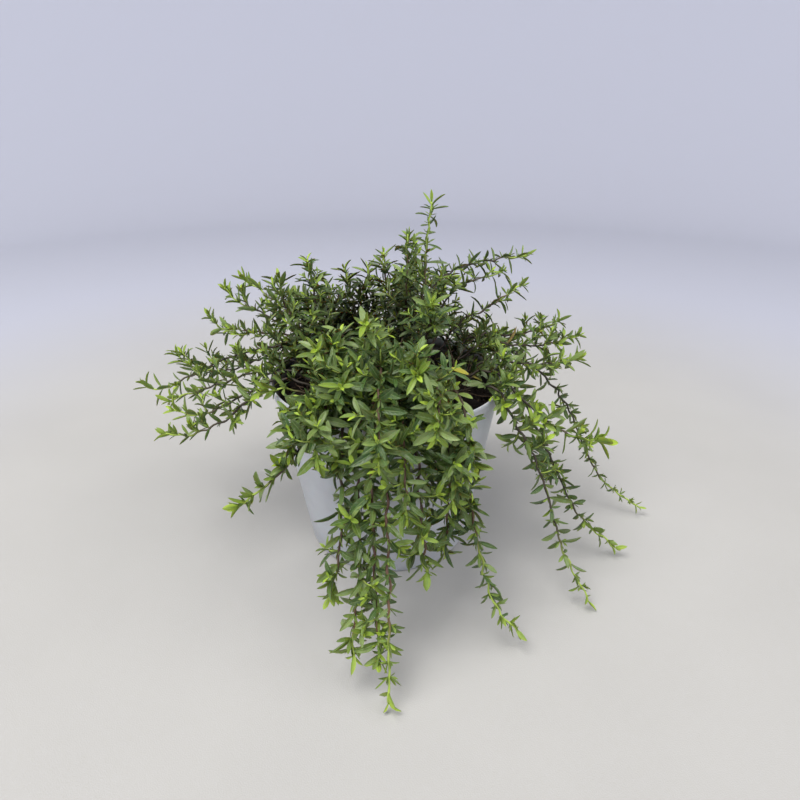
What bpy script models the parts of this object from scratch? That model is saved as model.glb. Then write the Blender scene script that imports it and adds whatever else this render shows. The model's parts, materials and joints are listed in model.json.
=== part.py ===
"""A round plastic pot of creeping savory: a tapered pot, its potting soil and the plant's leafy stems.

Blender units are metres, +Z is up, and the origin is the centre of the pot's foot, on the surface
that it stands on. The side that is seen first faces -Y. Lengths below are given in millimetres.
Run with: blender --background --python part.py
"""

import itertools
import math

import bmesh
import bpy
import numpy as np
from mathutils import Vector, kdtree, noise
from mathutils.bvhtree import BVHTree

MM = 0.001

# Pot
RIM_RADIUS = 60.0
POT_HEIGHT = 95.0
FOOT_RADIUS = 44.0
RIM_BAND_HEIGHT = 7.0
RIM_BAND_STEP = 1.4
WALL = 1.2
EDGE = 0.5
FLOOR_THICKNESS = 1.6
FOOT_RECESS = 1.6
FOOT_RING_WIDTH = 5.0
FOOT_PAD_RADIUS = 12.0
FOOT_CHAMFER = 1.2
INNER_FLOOR = FOOT_RECESS + FLOOR_THICKNESS
INNER_CORNER = 2.0
POT_SIDES = 36
DRAIN_HOLES = 6
DRAIN_HOLE_RADIUS = 4.0
DRAIN_CIRCLE = 26.0
DRAIN_HOLE_SIDES = 8

# Soil
SOIL_TOP = 84.0
SOIL_CROWN = 3.0
SOIL_LUMP = 2.0
SOIL_LUMP_WIDTH = 11.0
SOIL_RINGS = (0, 16, 32, 46)
SOIL_SIDES = 20
SEAT_GAP = 0.3
STEM_HOLE_RADIUS = 1.8
STEM_HOLE_SIDES = 4

# Stems
STEM_RADIUS = 0.85
STEM_FOOT = SOIL_TOP - 4.0
STEM_COLLAR = SOIL_TOP + 6.0
STEM_STEP = 34.0
STEM_BEND = math.radians(46)
STEM_CLEARANCE = 3.4
ROUTE_POINTS = 44
BEND_ROUNDS = 90
RIM_CLEARANCE = 4.2
WALL_CLEARANCE = 2.6
GROUND_CLEARANCE = 2.5

# Leaves
LEAF_LENGTH = 15.0
LEAF_WIDTH = 4.6
LEAF_THICKNESS = 0.8
LEAF_SUNK = 0.4
LEAF_STAGGER = 0.45
LEAF_SPACING = 21.6
LEAF_SPREAD = math.radians(52)
LEAF_ARCH = 0.12
LEAF_MARGIN = 0.35
BLADE_RIBS = ((0.3, 0.88), (0.66, 0.84))
KEEL_SHARE = 0.46
BLADE_OUTLINE = (0, 1, 3, 5, 4, 2)
BARE_BASE = 0.28
SHORT_LEAF = 0.62
BUD_LENGTH = 3.0
TIP_LEAF = 0.55
TIP_SPREAD = math.radians(24)
STEM_TURN = 2.4
GROUND_MARGIN = 0.8
TURNS = (0, 25, -25, 50, -50)
SHORTER = (1.0, 0.8, 0.62)

# Each stem: where it leaves the soil (x, y), then the points that it passes and its tip (x, y, z)
STEMS = {
    "left_1": ((-22, 8), (-48, 10, 104), (-68, 12, 103), (-98, 18, 91), (-127, 22, 75), (-141, 24, 77)),
    "left_2": ((-30, -2), (-50, 0, 101), (-66, 0, 96), (-86, 2, 88), (-118, 2, 77)),
    "left_3": ((-26, 18), (-50, 18, 103), (-66, 16, 97), (-90, 25, 85), (-112, 32, 83), (-123, 36, 92)),
    "left_4": ((-30, 27), (-50, 32, 103), (-64, 37, 102), (-85, 50, 100), (-102, 58, 99), (-109, 62, 106)),
    "left_5": ((-20, 14), (-38, 17, 107), (-55, 21, 112), (-71, 35, 116), (-84, 42, 119), (-93, 46, 127)),
    "left_6": ((-15, 5), (-30, 8, 110), (-48, 12, 122), (-61, 25, 126), (-79, 35, 135)),
    "left_7": ((-34, -9), (-51, -8, 99), (-64, -9, 92), (-78, -12, 84), (-96, -14, 77), (-108, -16, 81)),
    "left_8": ((-31, -18), (-50, -18, 99), (-65, -20, 91), (-79, -24, 80), (-94, -28, 74), (-110, -30, 74)),
    "left_9": ((-24, -32), (-29, -53, 99), (-33, -63, 92), (-45, -68, 77), (-63, -75, 64)),
    "left_10": ((-34, -25), (-46, -28, 98), (-58, -35, 99)),
    "front_1": ((-16, -38), (-17, -58, 101), (-18, -73, 86), (-18, -84, 67), (-19, -92, 50), (-23, -98, 35)),
    "front_2": ((-9, -36), (-10, -60, 103), (-11, -80, 77), (-10, -95, 52), (-12, -105, 32), (-13, -112, 17)),
    "front_3": ((1, -39), (1, -62, 104), (1, -87, 80), (2, -107, 47), (2, -116, 25), (2, -124, 4)),
    "front_4": ((-4, -31), (-5, -60, 109), (-5, -83, 84), (-4, -97, 54), (-3, -106, 35), (-2, -115, 18)),
    "front_5": ((11, -36), (13, -60, 103), (14, -80, 80), (16, -88, 57), (17, -92, 40)),
    "front_6": ((24, -32), (30, -54, 100), (34, -67, 84), (39, -78, 54), (47, -88, 24), (59, -93, 9)),
    "right_1": ((33, -19), (50, -29, 100), (61, -38, 84), (73, -48, 62), (84, -60, 29), (97, -69, 5)),
    "right_2": ((38, -6), (55, -10, 100), (67, -14, 87), (85, -22, 54), (100, -28, 26), (122, -33, 6)),
    "right_3": ((35, 15), (56, 21, 101), (78, 25, 90), (101, 22, 66), (123, 12, 24), (147, 4, 6)),
    "right_4": ((29, -12), (50, -20, 104), (67, -30, 91), (84, -38, 80), (102, -42, 77)),
    "right_5": ((29, 7), (48, 9, 106), (64, 13, 105), (83, 20, 102), (106, 28, 105)),
    "right_6": ((37, 2), (54, 2, 101), (68, 4, 98), (84, 8, 96), (103, 14, 96)),
    "right_7": ((28, 22), (48, 24, 106), (70, 28, 105), (89, 38, 106), (99, 45, 108)),
    "right_8": ((21, 10), (36, 12, 116), (50, 16, 123), (62, 25, 128), (74, 32, 133)),
    "right_9": ((15, 18), (26, 19, 120), (38, 26, 133), (49, 33, 135), (63, 38, 138)),
    "right_10": ((12, 11), (22, 15, 132), (34, 23, 142), (50, 34, 144), (77, 46, 145)),
    "crown_1": ((11, -4), (16, -5, 118), (18, -4, 140), (19, -2, 163), (21, 0, 179)),
    "crown_2": ((4, 2), (9, 0, 128), (10, 2, 150), (10, 4, 164)),
    "crown_3": ((-14, -6), (-28, 0, 112), (-35, 5, 128), (-39, 10, 150)),
    "crown_4": ((-2, 10), (1, 12, 126), (-1, 18, 141), (-2, 22, 152)),
    "crown_5": ((-8, 15), (-17, 20, 121), (-23, 30, 142)),
    "crown_6": ((-4, -13), (-6, -30, 114), (-7, -47, 130), (-7, -60, 141)),
    "crown_7": ((9, -12), (18, -20, 118), (20, -32, 134), (20, -40, 145)),
    "crown_8": ((-5, 25), (-12, 31, 120), (-11, 40, 140)),
    "crown_9": ((-16, 24), (-28, 30, 116), (-33, 40, 124), (-36, 46, 130)),
    "crown_10": ((-22, -4), (-42, -4, 116), (-50, 2, 128), (-54, 8, 143)),
    "crown_11": ((6, 22), (11, 30, 122), (15, 37, 143)),
    "brow_1": ((-14, -20), (-22, -36, 117), (-29, -51, 126)),
    "brow_2": ((-23, -24), (-27, -50, 108), (-29, -70, 107)),
    "brow_3": ((5, -23), (9, -47, 119), (13, -70, 124)),
    "brow_4": ((-9, -26), (-14, -48, 115), (-17, -71, 119)),
    "brow_5": ((15, -25), (19, -52, 115), (22, -74, 115), (20, -88, 106)),
    "brow_6": ((-17, -30), (-23, -55, 106), (-27, -72, 101), (-26, -84, 92)),
    "brow_7": ((-2, -22), (-1, -54, 121), (-2, -80, 113), (-1, -97, 98)),
    "brow_8": ((19, -37), (22, -58, 102), (27, -73, 92), (28, -84, 72)),
    "brow_9": ((25, -24), (31, -48, 106), (35, -64, 98), (37, -76, 84)),
    "brow_10": ((-30, -31), (-34, -47, 100), (-37, -60, 96), (-40, -70, 87)),
    "brow_11": ((4, -30), (6, -57, 106), (8, -81, 95), (9, -96, 73)),
    "brow_12": ((18, -44), (23, -58, 98), (27, -69, 84), (27, -75, 60), (26, -78, 40)),
    "back_1": ((33, 26), (48, 38, 102), (66, 55, 88), (76, 70, 60), (80, 80, 38)),
    "back_2": ((22, 30), (32, 52, 104), (42, 72, 92), (50, 92, 68)),
    "back_3": ((12, 36), (16, 60, 103), (20, 82, 84), (22, 98, 48), (20, 108, 16)),
    "back_4": ((3, 28), (4, 50, 117), (6, 72, 118), (8, 92, 110)),
    "back_5": ((-6, 37), (-8, 60, 102), (-12, 80, 84), (-16, 92, 52), (-22, 98, 28)),
    "back_6": ((-16, 34), (-26, 54, 104), (-38, 74, 92), (-48, 90, 72)),
    "back_7": ((-27, 36), (-38, 48, 102), (-56, 64, 88), (-68, 76, 56), (-72, 84, 30)),
    "back_8": ((14, 27), (22, 44, 118), (30, 60, 124), (38, 72, 126)),
    "back_9": ((-20, 28), (-33, 44, 115), (-48, 60, 116), (-60, 70, 110)),
}

GREEN = (0.13, 0.22, 0.07, 1.0)
POT_GREY = (0.62, 0.65, 0.68, 1.0)
SOIL_BROWN = (0.035, 0.024, 0.018, 1.0)


def clear_scene():
    """Removes the objects that Blender starts with."""
    for obj in list(bpy.data.objects):
        bpy.data.objects.remove(obj)


def new_collection(name):
    collection = bpy.data.collections.new(name)
    bpy.context.scene.collection.children.link(collection)
    return collection


def material(name, colour, roughness):
    made = bpy.data.materials.new(name)
    made.use_nodes = True
    shader = made.node_tree.nodes["Principled BSDF"]
    shader.inputs["Base Color"].default_value = colour
    shader.inputs["Roughness"].default_value = roughness
    return made


def mesh_object(name, mesh, collection, finish=None):
    obj = bpy.data.objects.new(name, mesh)
    collection.objects.link(obj)
    if finish:
        mesh.materials.append(finish)
    return obj


def turned(name, profile, sides, collection, finish):
    """A solid of revolution about Z from (radius, height) points, which run down its outer side."""
    mesh = bpy.data.meshes.new(name)
    points = [(radius * MM, 0, height * MM) for radius, height in profile]
    mesh.from_pydata(points, [(i, i + 1) for i in range(len(points) - 1)], [])
    obj = mesh_object(name, mesh, collection, finish)
    screw = obj.modifiers.new("turn", "SCREW")
    screw.steps = screw.render_steps = sides
    screw.use_merge_vertices = True
    screw.merge_threshold = 0.00005
    return obj


def upright_cutter(name, radius, sides, x, y, low, high, cutters):
    """A hidden cylinder from one height to another, which a Boolean takes away."""
    mesh = bpy.data.meshes.new(name)
    solid = bmesh.new()
    bmesh.ops.create_cone(
        solid,
        cap_ends=True,
        segments=sides,
        radius1=radius * MM,
        radius2=radius * MM,
        depth=(high - low) * MM,
    )
    solid.to_mesh(mesh)
    solid.free()
    cutter = mesh_object(name, mesh, cutters)
    cutter.location = (x * MM, y * MM, (low + high) / 2 * MM)
    cutter.hide_render = True
    cutter.display_type = "WIRE"


def add_boolean(obj, operation, others, solver="EXACT"):
    """A Boolean of an object with every object of a collection."""
    join = obj.modifiers.new(operation.lower(), "BOOLEAN")
    join.operation = operation
    join.operand_type = "COLLECTION"
    join.collection = others
    join.solver = solver


def made_mesh(obj):
    """A new mesh of an object as its modifiers leave it."""
    bpy.context.view_layer.update()
    graph = bpy.context.evaluated_depsgraph_get()
    return bpy.data.meshes.new_from_object(obj.evaluated_get(graph))


def apply_modifiers(obj):
    made = made_mesh(obj)
    obj.modifiers.clear()
    obj.data = made


def surface_of(obj):
    """An object's finished surface in millimetres, as (vertices, faces)."""
    mesh = made_mesh(obj)
    return [v.co / MM for v in mesh.vertices], [tuple(p.vertices) for p in mesh.polygons]


def wall_radius(height):
    """The outer radius of the pot's plain wall at a height."""
    top = RIM_RADIUS - RIM_BAND_STEP
    return FOOT_RADIUS + (top - FOOT_RADIUS) * height / POT_HEIGHT


def make_pot(collection, finish):
    """The tapered pot: rim band, wall, and a floor with drain holes between a foot ring and a pad."""
    band_foot = POT_HEIGHT - RIM_BAND_HEIGHT
    ring_inside = FOOT_RADIUS - FOOT_RING_WIDTH
    profile = [
        (0, INNER_FLOOR),
        (wall_radius(INNER_FLOOR) - WALL - INNER_CORNER, INNER_FLOOR),
        (wall_radius(INNER_FLOOR + INNER_CORNER) - WALL, INNER_FLOOR + INNER_CORNER),
        (wall_radius(band_foot) - WALL, band_foot),
        (wall_radius(band_foot) - WALL + RIM_BAND_STEP, band_foot + 2 * EDGE),
        (RIM_RADIUS - WALL, POT_HEIGHT - EDGE),
        (RIM_RADIUS - WALL / 2, POT_HEIGHT),
        (RIM_RADIUS, POT_HEIGHT - EDGE),
        (wall_radius(band_foot) + RIM_BAND_STEP, band_foot + EDGE),
        (wall_radius(band_foot), band_foot - EDGE),
        (wall_radius(FOOT_CHAMFER), FOOT_CHAMFER),
        (FOOT_RADIUS - FOOT_CHAMFER, 0),
        (ring_inside, 0),
        (ring_inside - FOOT_CHAMFER, FOOT_RECESS),
        (FOOT_PAD_RADIUS + FOOT_CHAMFER, FOOT_RECESS),
        (FOOT_PAD_RADIUS, 0),
        (0, 0),
    ]
    pot = turned("pot", profile, POT_SIDES, collection, finish)
    cutters = new_collection("drain hole cutters")
    for i in range(DRAIN_HOLES):
        angle = math.tau * i / DRAIN_HOLES
        x, y = DRAIN_CIRCLE * math.cos(angle), DRAIN_CIRCLE * math.sin(angle)
        low, high = FOOT_RECESS - FLOOR_THICKNESS, INNER_FLOOR + FLOOR_THICKNESS
        upright_cutter(f"drain hole {i}", DRAIN_HOLE_RADIUS, DRAIN_HOLE_SIDES, x, y, low, high, cutters)
    add_boolean(pot, "DIFFERENCE", cutters)
    return pot


def make_soil(routes, collection, finish):
    """The potting soil: it fills the pot to a lumpy top, with a plain hole for each stem."""
    bottom = INNER_FLOOR + SEAT_GAP
    edge = WALL + SEAT_GAP
    profile = [(radius, SOIL_TOP) for radius in SOIL_RINGS] + [
        (wall_radius(SOIL_TOP) - edge, SOIL_TOP),
        (wall_radius(bottom + INNER_CORNER) - edge, bottom + INNER_CORNER),
        (wall_radius(bottom) - edge - INNER_CORNER, bottom),
        (0, bottom),
    ]
    soil = turned("soil", profile, SOIL_SIDES, collection, finish)
    apply_modifiers(soil)
    for vertex in soil.data.vertices:
        if vertex.co.z > (SOIL_TOP - EDGE) * MM:
            radius = math.hypot(vertex.co.x, vertex.co.y) / MM
            crown = SOIL_CROWN * (1 - (radius / RIM_RADIUS) ** 2)
            lump = SOIL_LUMP * noise.noise(vertex.co / (SOIL_LUMP_WIDTH * MM))
            vertex.co.z += (crown + lump) * MM
    cutters = new_collection("stem hole cutters")
    for name, route in routes.items():
        x, y = route[0, :2]
        low, high = STEM_FOOT - SEAT_GAP, STEM_COLLAR
        upright_cutter(f"{name} hole", STEM_HOLE_RADIUS, STEM_HOLE_SIDES, x, y, low, high, cutters)
    add_boolean(soil, "DIFFERENCE", cutters)
    return soil


def span_lengths(points):
    return np.linalg.norm(np.diff(points, axis=0), axis=1)


def read_along(points, steps, count):
    """A polyline read at equal shares of the sum of its spans' steps."""
    travelled = np.concatenate([[0], np.cumsum(steps)])
    wanted = np.linspace(0, travelled[-1], count)
    return np.stack([np.interp(wanted, travelled, axis) for axis in points.T], axis=1)


def stem_route(root, *passed):
    """A stem's line from its collar above the soil, as a Catmull-Rom curve through what it passes.

    Each span is a cubic from one point to the next, with a slope at each end that is half the way
    between the points on either side of it. The first slope looks back to the foot in the soil.
    """
    foot, collar = (*root, STEM_FOOT), (*root, STEM_COLLAR)
    padded = np.array([foot, collar, *passed, 2 * np.array(passed[-1]) - passed[-2]], float)
    t = np.linspace(0, 1, 16, endpoint=False)[:, None]
    spans = []
    for a, b, c, d in zip(padded, padded[1:], padded[2:], padded[3:]):
        curve = 2 * b + (c - a) * t + (2 * a - 5 * b + 4 * c - d) * t**2
        spans.append((curve + (3 * b - a - 3 * c + d) * t**3) / 2)
    points = np.vstack([*spans, padded[-2:-1]])
    return read_along(points, span_lengths(points), ROUTE_POINTS)


def keep_off_pot(line):
    """Holds a line off a round guard along the pot's lip, off its wall below that, and off the ground."""
    lip_radius, lip_height = RIM_RADIUS - 1, POT_HEIGHT - 1
    radius = np.hypot(line[:, 0], line[:, 1])
    out, up = radius - lip_radius, line[:, 2] - lip_height
    grow = np.maximum(1, RIM_CLEARANCE / np.hypot(out, up))
    beside_wall = (up < 0) & (out > -RIM_CLEARANCE)
    wanted = lip_radius + out * grow
    wanted[beside_wall] = np.maximum(wanted[beside_wall], RIM_RADIUS + WALL_CLEARANCE)
    line[:, :2] *= (wanted / radius)[:, None]
    line[:, 2] = np.maximum(lip_height + up * grow, GROUND_CLEARANCE)


def unit(vector):
    return vector / max(np.linalg.norm(vector), 1e-9)


def crowding(lines):
    """How far and which way each point of each line is pushed by points of other lines too near it."""
    flat = lines.reshape(-1, 3)
    owner = np.repeat(np.arange(len(lines)), lines.shape[1])
    tree = kdtree.KDTree(len(flat))
    for i, point in enumerate(flat):
        tree.insert(point, i)
    tree.balance()
    push = np.zeros_like(flat)
    for i, point in enumerate(flat):
        for other, j, distance in tree.find_range(point, STEM_CLEARANCE):
            if owner[i] != owner[j]:
                push[i] += unit(point - np.array(other)) * (STEM_CLEARANCE - distance) / 2
    return push.reshape(lines.shape)


def bend_clear(routes):
    """Bends stems apart, a little at a time, until no two come nearer than the clearance."""
    lines = np.array(list(routes.values()))
    for _ in range(BEND_ROUNDS):
        for line in lines:
            keep_off_pot(line)
        push = crowding(lines)
        if not push.any():
            break
        for _ in range(2):
            push[:, 1:-1] = (push[:, :-2] + 2 * push[:, 1:-1] + push[:, 2:]) / 4
        push[:, 0, 2] = 0
        lines = lines + push
    return dict(zip(routes, lines))


def blade(root, heading, face, length, width, thickness):
    """A pointed leaf: two ribs across it between its root and its tip, arched back from its face.

    The outline is a lance of six points, root, left and right ends of each rib, and tip. The face
    is flat across, and the back rises from the outline to one keel point.
    """
    side = unit(np.cross(face, heading))
    face = unit(np.cross(heading, side))

    def spot(share, across, depth=0):
        arch = LEAF_ARCH * length * share**2
        return root + heading * length * share + side * across - face * (arch + depth)

    vertices = [spot(0, 0)]
    for share, spread in BLADE_RIBS:
        vertices += [spot(share, -width * spread / 2), spot(share, width * spread / 2)]
    vertices += [spot(1, 0), spot(KEEL_SHARE, 0, thickness)]
    faces = [(0, 1, 2), (1, 3, 4), (1, 4, 2), (3, 5, 4)]
    following = BLADE_OUTLINE[1:] + BLADE_OUTLINE[:1]
    faces += [(b, a, 6) for a, b in zip(BLADE_OUTLINE, following)]
    return vertices, faces


def tree_of(vertices, faces):
    return BVHTree.FromPolygons([Vector(v) for v in vertices], faces)


def added(body, more):
    """Two surfaces, each (vertices, faces), as one."""
    shift = len(body[0])
    return body[0] + more[0], body[1] + [tuple(i + shift for i in face) for face in more[1]]


def square_tube(line, radius):
    """A plain four-sided surface round a line, for telling what a stem would touch."""
    vertices, faces = [], []
    for i, point in enumerate(line):
        heading = unit(line[min(i + 1, len(line) - 1)] - line[max(i - 1, 0)])
        side = unit(np.cross(heading, (0.3, 0.2, 1.0))) * radius
        up = unit(np.cross(side, heading)) * radius
        vertices += [point + side, point + up, point - side, point - up]
        if i:
            for k in range(4):
                a, b = 4 * i - 4 + k, 4 * i - 4 + (k + 1) % 4
                faces += [(a, b, b + 4, a + 4)]
    return vertices, faces


def stem_leaves(line, stem_turn):
    """A stem's wanted leaves: opposite pairs, each turned a quarter from the last, and two at the tip.

    Each is (root, stem heading, level direction across the stem, turn about it, length, spread).
    """
    travelled = np.concatenate([[0], np.cumsum(span_lengths(line))])
    pairs = max(3, round(travelled[-1] * (1 - BARE_BASE) / LEAF_SPACING))
    for k in range(pairs + 1):
        share = BARE_BASE + (1 - BARE_BASE) * (k + 0.5) / pairs
        place = travelled[-1] * share if k < pairs else travelled[-1] - BUD_LENGTH
        point = np.array([np.interp(place, travelled, line[:, i]) for i in range(3)])
        span = np.searchsorted(travelled, place)
        heading = unit(line[span] - line[span - 1])
        level = unit(np.cross(heading, (0, 0, 1)))
        grown = SHORT_LEAF + (1 - SHORT_LEAF) * math.sin(math.pi * share)
        length = LEAF_LENGTH * (grown if k < pairs else TIP_LEAF)
        spread = LEAF_SPREAD if k < pairs else TIP_SPREAD
        for half in (0, 1):
            turn = stem_turn + (0.25 + k / 2 + half) * math.pi
            yield point + heading * LEAF_STAGGER * (half - 1), heading, level, turn, length, spread


def clear_leaf(wanted, obstacles):
    """A leaf turned or shortened until it stands clear of the obstacles, or None."""
    root, stem, level, turn, length, spread = wanted
    upright = np.cross(level, stem)
    for share, extra in itertools.product(SHORTER, TURNS):
        angle = turn + math.radians(extra)
        outward = level * math.cos(angle) + upright * math.sin(angle)
        heading = stem * math.cos(spread) + outward * math.sin(spread)
        face = stem * math.sin(spread) - outward * math.cos(spread)
        start = root - heading * LEAF_SUNK
        size = length * share
        width = LEAF_WIDTH * math.sqrt(size / LEAF_LENGTH)
        around = 2 * LEAF_MARGIN
        skin = start + face * LEAF_MARGIN
        tested = blade(skin, heading, face, size + around, width + around, LEAF_THICKNESS + around)
        tree = tree_of(*tested)
        above_ground = min(point[2] for point in tested[0]) > GROUND_MARGIN
        if above_ground and not any(tree.overlap(other) for other in obstacles):
            return blade(start, heading, face, size, width, LEAF_THICKNESS)
    return None


def make_tube(name, line, turn, collection, finish):
    """A stem as a square tube on a POLY curve, made a mesh with its caps joined on.

    One corner of the square lies at the turn from level, so the flat sides face the leaf pairs.
    """
    curve = bpy.data.curves.new(name, "CURVE")
    curve.dimensions = "3D"
    curve.bevel_depth = STEM_RADIUS * MM
    curve.bevel_resolution = 0
    curve.use_fill_caps = True
    curve.twist_mode = "Z_UP"
    spline = curve.splines.new("POLY")
    spline.points.add(len(line) - 1)
    for spot, point in zip(spline.points, line):
        spot.co = (*(point * MM), 1)
        spot.tilt = -turn
    guide = bpy.data.objects.new(f"{name} guide", curve)
    collection.objects.link(guide)
    mesh = made_mesh(guide)
    bpy.data.objects.remove(guide)
    solid = bmesh.new()
    solid.from_mesh(mesh)
    bmesh.ops.remove_doubles(solid, verts=solid.verts, dist=1e-6)
    bmesh.ops.recalc_face_normals(solid, faces=solid.faces)
    solid.to_mesh(mesh)
    solid.free()
    return mesh_object(name, mesh, collection, finish)


def stem_line(route):
    """The few points of a stem's tube, more of them where it bends, from its foot in its hole."""
    lengths = span_lengths(route)
    headings = np.diff(route, axis=0) / lengths[:, None]
    bends = np.arccos(np.clip((headings[1:] * headings[:-1]).sum(axis=1), -1, 1))
    steps = lengths / STEM_STEP + np.concatenate([[0], bends]) / STEM_BEND
    foot = (route[0, 0], route[0, 1], STEM_FOOT)
    return np.vstack([foot, read_along(route, steps, max(4, round(steps.sum()) + 1))])


def make_stems(routes, holders, collection, finish):
    """Every leafy stem as one solid: its tube, and its leaves where they stand clear of the others."""
    lines = {name: stem_line(route) for name, route in routes.items()}
    bodies = {name: square_tube(line, STEM_RADIUS + LEAF_MARGIN) for name, line in lines.items()}
    trees = {name: tree_of(*body) for name, body in bodies.items()}
    fixed = [tree_of(*surface_of(holder)) for holder in holders]
    for index, (name, line) in enumerate(lines.items()):
        turn = index * STEM_TURN
        stem = make_tube(f"stem_{name}", line, turn, collection, finish)
        leaves = new_collection(f"{name} leaves")
        for wanted in stem_leaves(line, turn):
            others = [tree for other, tree in trees.items() if other != name]
            leaf = clear_leaf(wanted, others + fixed)
            if leaf:
                mesh = bpy.data.meshes.new("leaf")
                mesh.from_pydata([Vector(point) * MM for point in leaf[0]], [], leaf[1])
                mesh_object("leaf", mesh, leaves)
                bodies[name] = added(bodies[name], leaf)
                trees[name] = tree_of(*bodies[name])
        add_boolean(stem, "UNION", leaves, "MANIFOLD")
        apply_modifiers(stem)
        for leaf in list(leaves.objects):
            bpy.data.objects.remove(leaf)
        bpy.data.collections.remove(leaves)


def main():
    clear_scene()
    collection = new_collection("potted savory")
    routes = bend_clear({name: stem_route(*passed) for name, passed in STEMS.items()})
    pot = make_pot(collection, material("pot plastic", POT_GREY, 0.45))
    soil = make_soil(routes, collection, material("potting soil", SOIL_BROWN, 0.95))
    make_stems(routes, (pot, soil), collection, material("savory green", GREEN, 0.5))


main()
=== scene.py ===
"""Dresses a potted savory: a smooth plastic pot, crumbly soil, and a leafy sprig along each stem.

Lengths in the tables and in the stems' routes are in millimetres. Meshes and sizes that a user can
change are in metres. The side that is seen first faces -Y.
"""

import json
import math
from collections import namedtuple
from functools import lru_cache

import bpy
import numpy as np
from bpy.props import EnumProperty, FloatProperty, FloatVectorProperty, IntProperty, PointerProperty
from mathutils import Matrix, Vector, kdtree

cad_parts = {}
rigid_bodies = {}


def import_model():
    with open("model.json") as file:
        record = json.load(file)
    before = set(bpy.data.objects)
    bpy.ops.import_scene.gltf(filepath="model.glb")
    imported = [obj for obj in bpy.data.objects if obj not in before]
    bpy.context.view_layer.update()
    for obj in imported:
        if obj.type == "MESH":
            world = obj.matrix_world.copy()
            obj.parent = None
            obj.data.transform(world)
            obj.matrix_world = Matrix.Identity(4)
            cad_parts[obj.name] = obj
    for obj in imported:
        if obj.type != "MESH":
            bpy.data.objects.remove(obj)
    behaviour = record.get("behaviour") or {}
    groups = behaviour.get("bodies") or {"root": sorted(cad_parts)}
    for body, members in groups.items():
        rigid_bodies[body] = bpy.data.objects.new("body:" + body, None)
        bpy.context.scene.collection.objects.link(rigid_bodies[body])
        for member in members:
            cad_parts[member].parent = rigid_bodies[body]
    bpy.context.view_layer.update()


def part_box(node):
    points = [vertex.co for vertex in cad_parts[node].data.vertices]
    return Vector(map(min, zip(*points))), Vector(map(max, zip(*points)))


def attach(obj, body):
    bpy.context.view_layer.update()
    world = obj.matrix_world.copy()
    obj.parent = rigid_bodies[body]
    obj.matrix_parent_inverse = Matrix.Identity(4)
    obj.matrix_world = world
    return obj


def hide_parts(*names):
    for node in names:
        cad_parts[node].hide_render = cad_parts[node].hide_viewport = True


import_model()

bl_info = {
    "name": "Potted savory",
    "version": (1, 0, 0),
    "blender": (4, 5, 0),
    "location": "3D View > Sidebar > Savory",
    "description": "Grows leafy sprigs round the stems of a potted savory, with its pot and soil",
    "category": "Add Mesh",
}

POT_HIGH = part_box("pot")[1]
MM = 0.001
UP = np.array((0.0, 0.0, 1.0))

# The pot's section, as the solid pot has it
RIM_RADIUS = POT_HIGH.x / MM
POT_HEIGHT = POT_HIGH.z / MM
FOOT_RADIUS = 44.0
RIM_BAND_HEIGHT = 7.0
RIM_BAND_STEP = 1.4
WALL = 1.2
EDGE = 0.5
FOOT_RECESS = 1.6
INNER_FLOOR = 3.2
INNER_CORNER = 2.0
FOOT_RING_INSIDE = 39.0
FOOT_PAD_RADIUS = 12.0
FOOT_CHAMFER = 1.2
DRAIN_HOLES = 6
DRAIN_HOLE_RADIUS = 4.0
DRAIN_CIRCLE = 26.0
DRAIN_HOLE_SIDES = 32
DRILL_FROM, DRILL_TO = -1.0, 6.0
SEAT_GAP = 0.3
CORNER_ROUNDING = 0.45

# The stems' routes
SOIL_TOP = 84.0
SOIL_CROWN = 3.0
STEM_FOOT = SOIL_TOP - 4.0
STEM_COLLAR = SOIL_TOP + 6.0
STEM_CLEARANCE = 3.4
SPAN_POINTS = 16
ROUTE_POINTS = 44
BEND_ROUNDS = 90
LIP_INSET = 1.0
RIM_CLEARANCE = 4.2
WALL_CLEARANCE = 2.6
GROUND_CLEARANCE = 2.5

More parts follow.
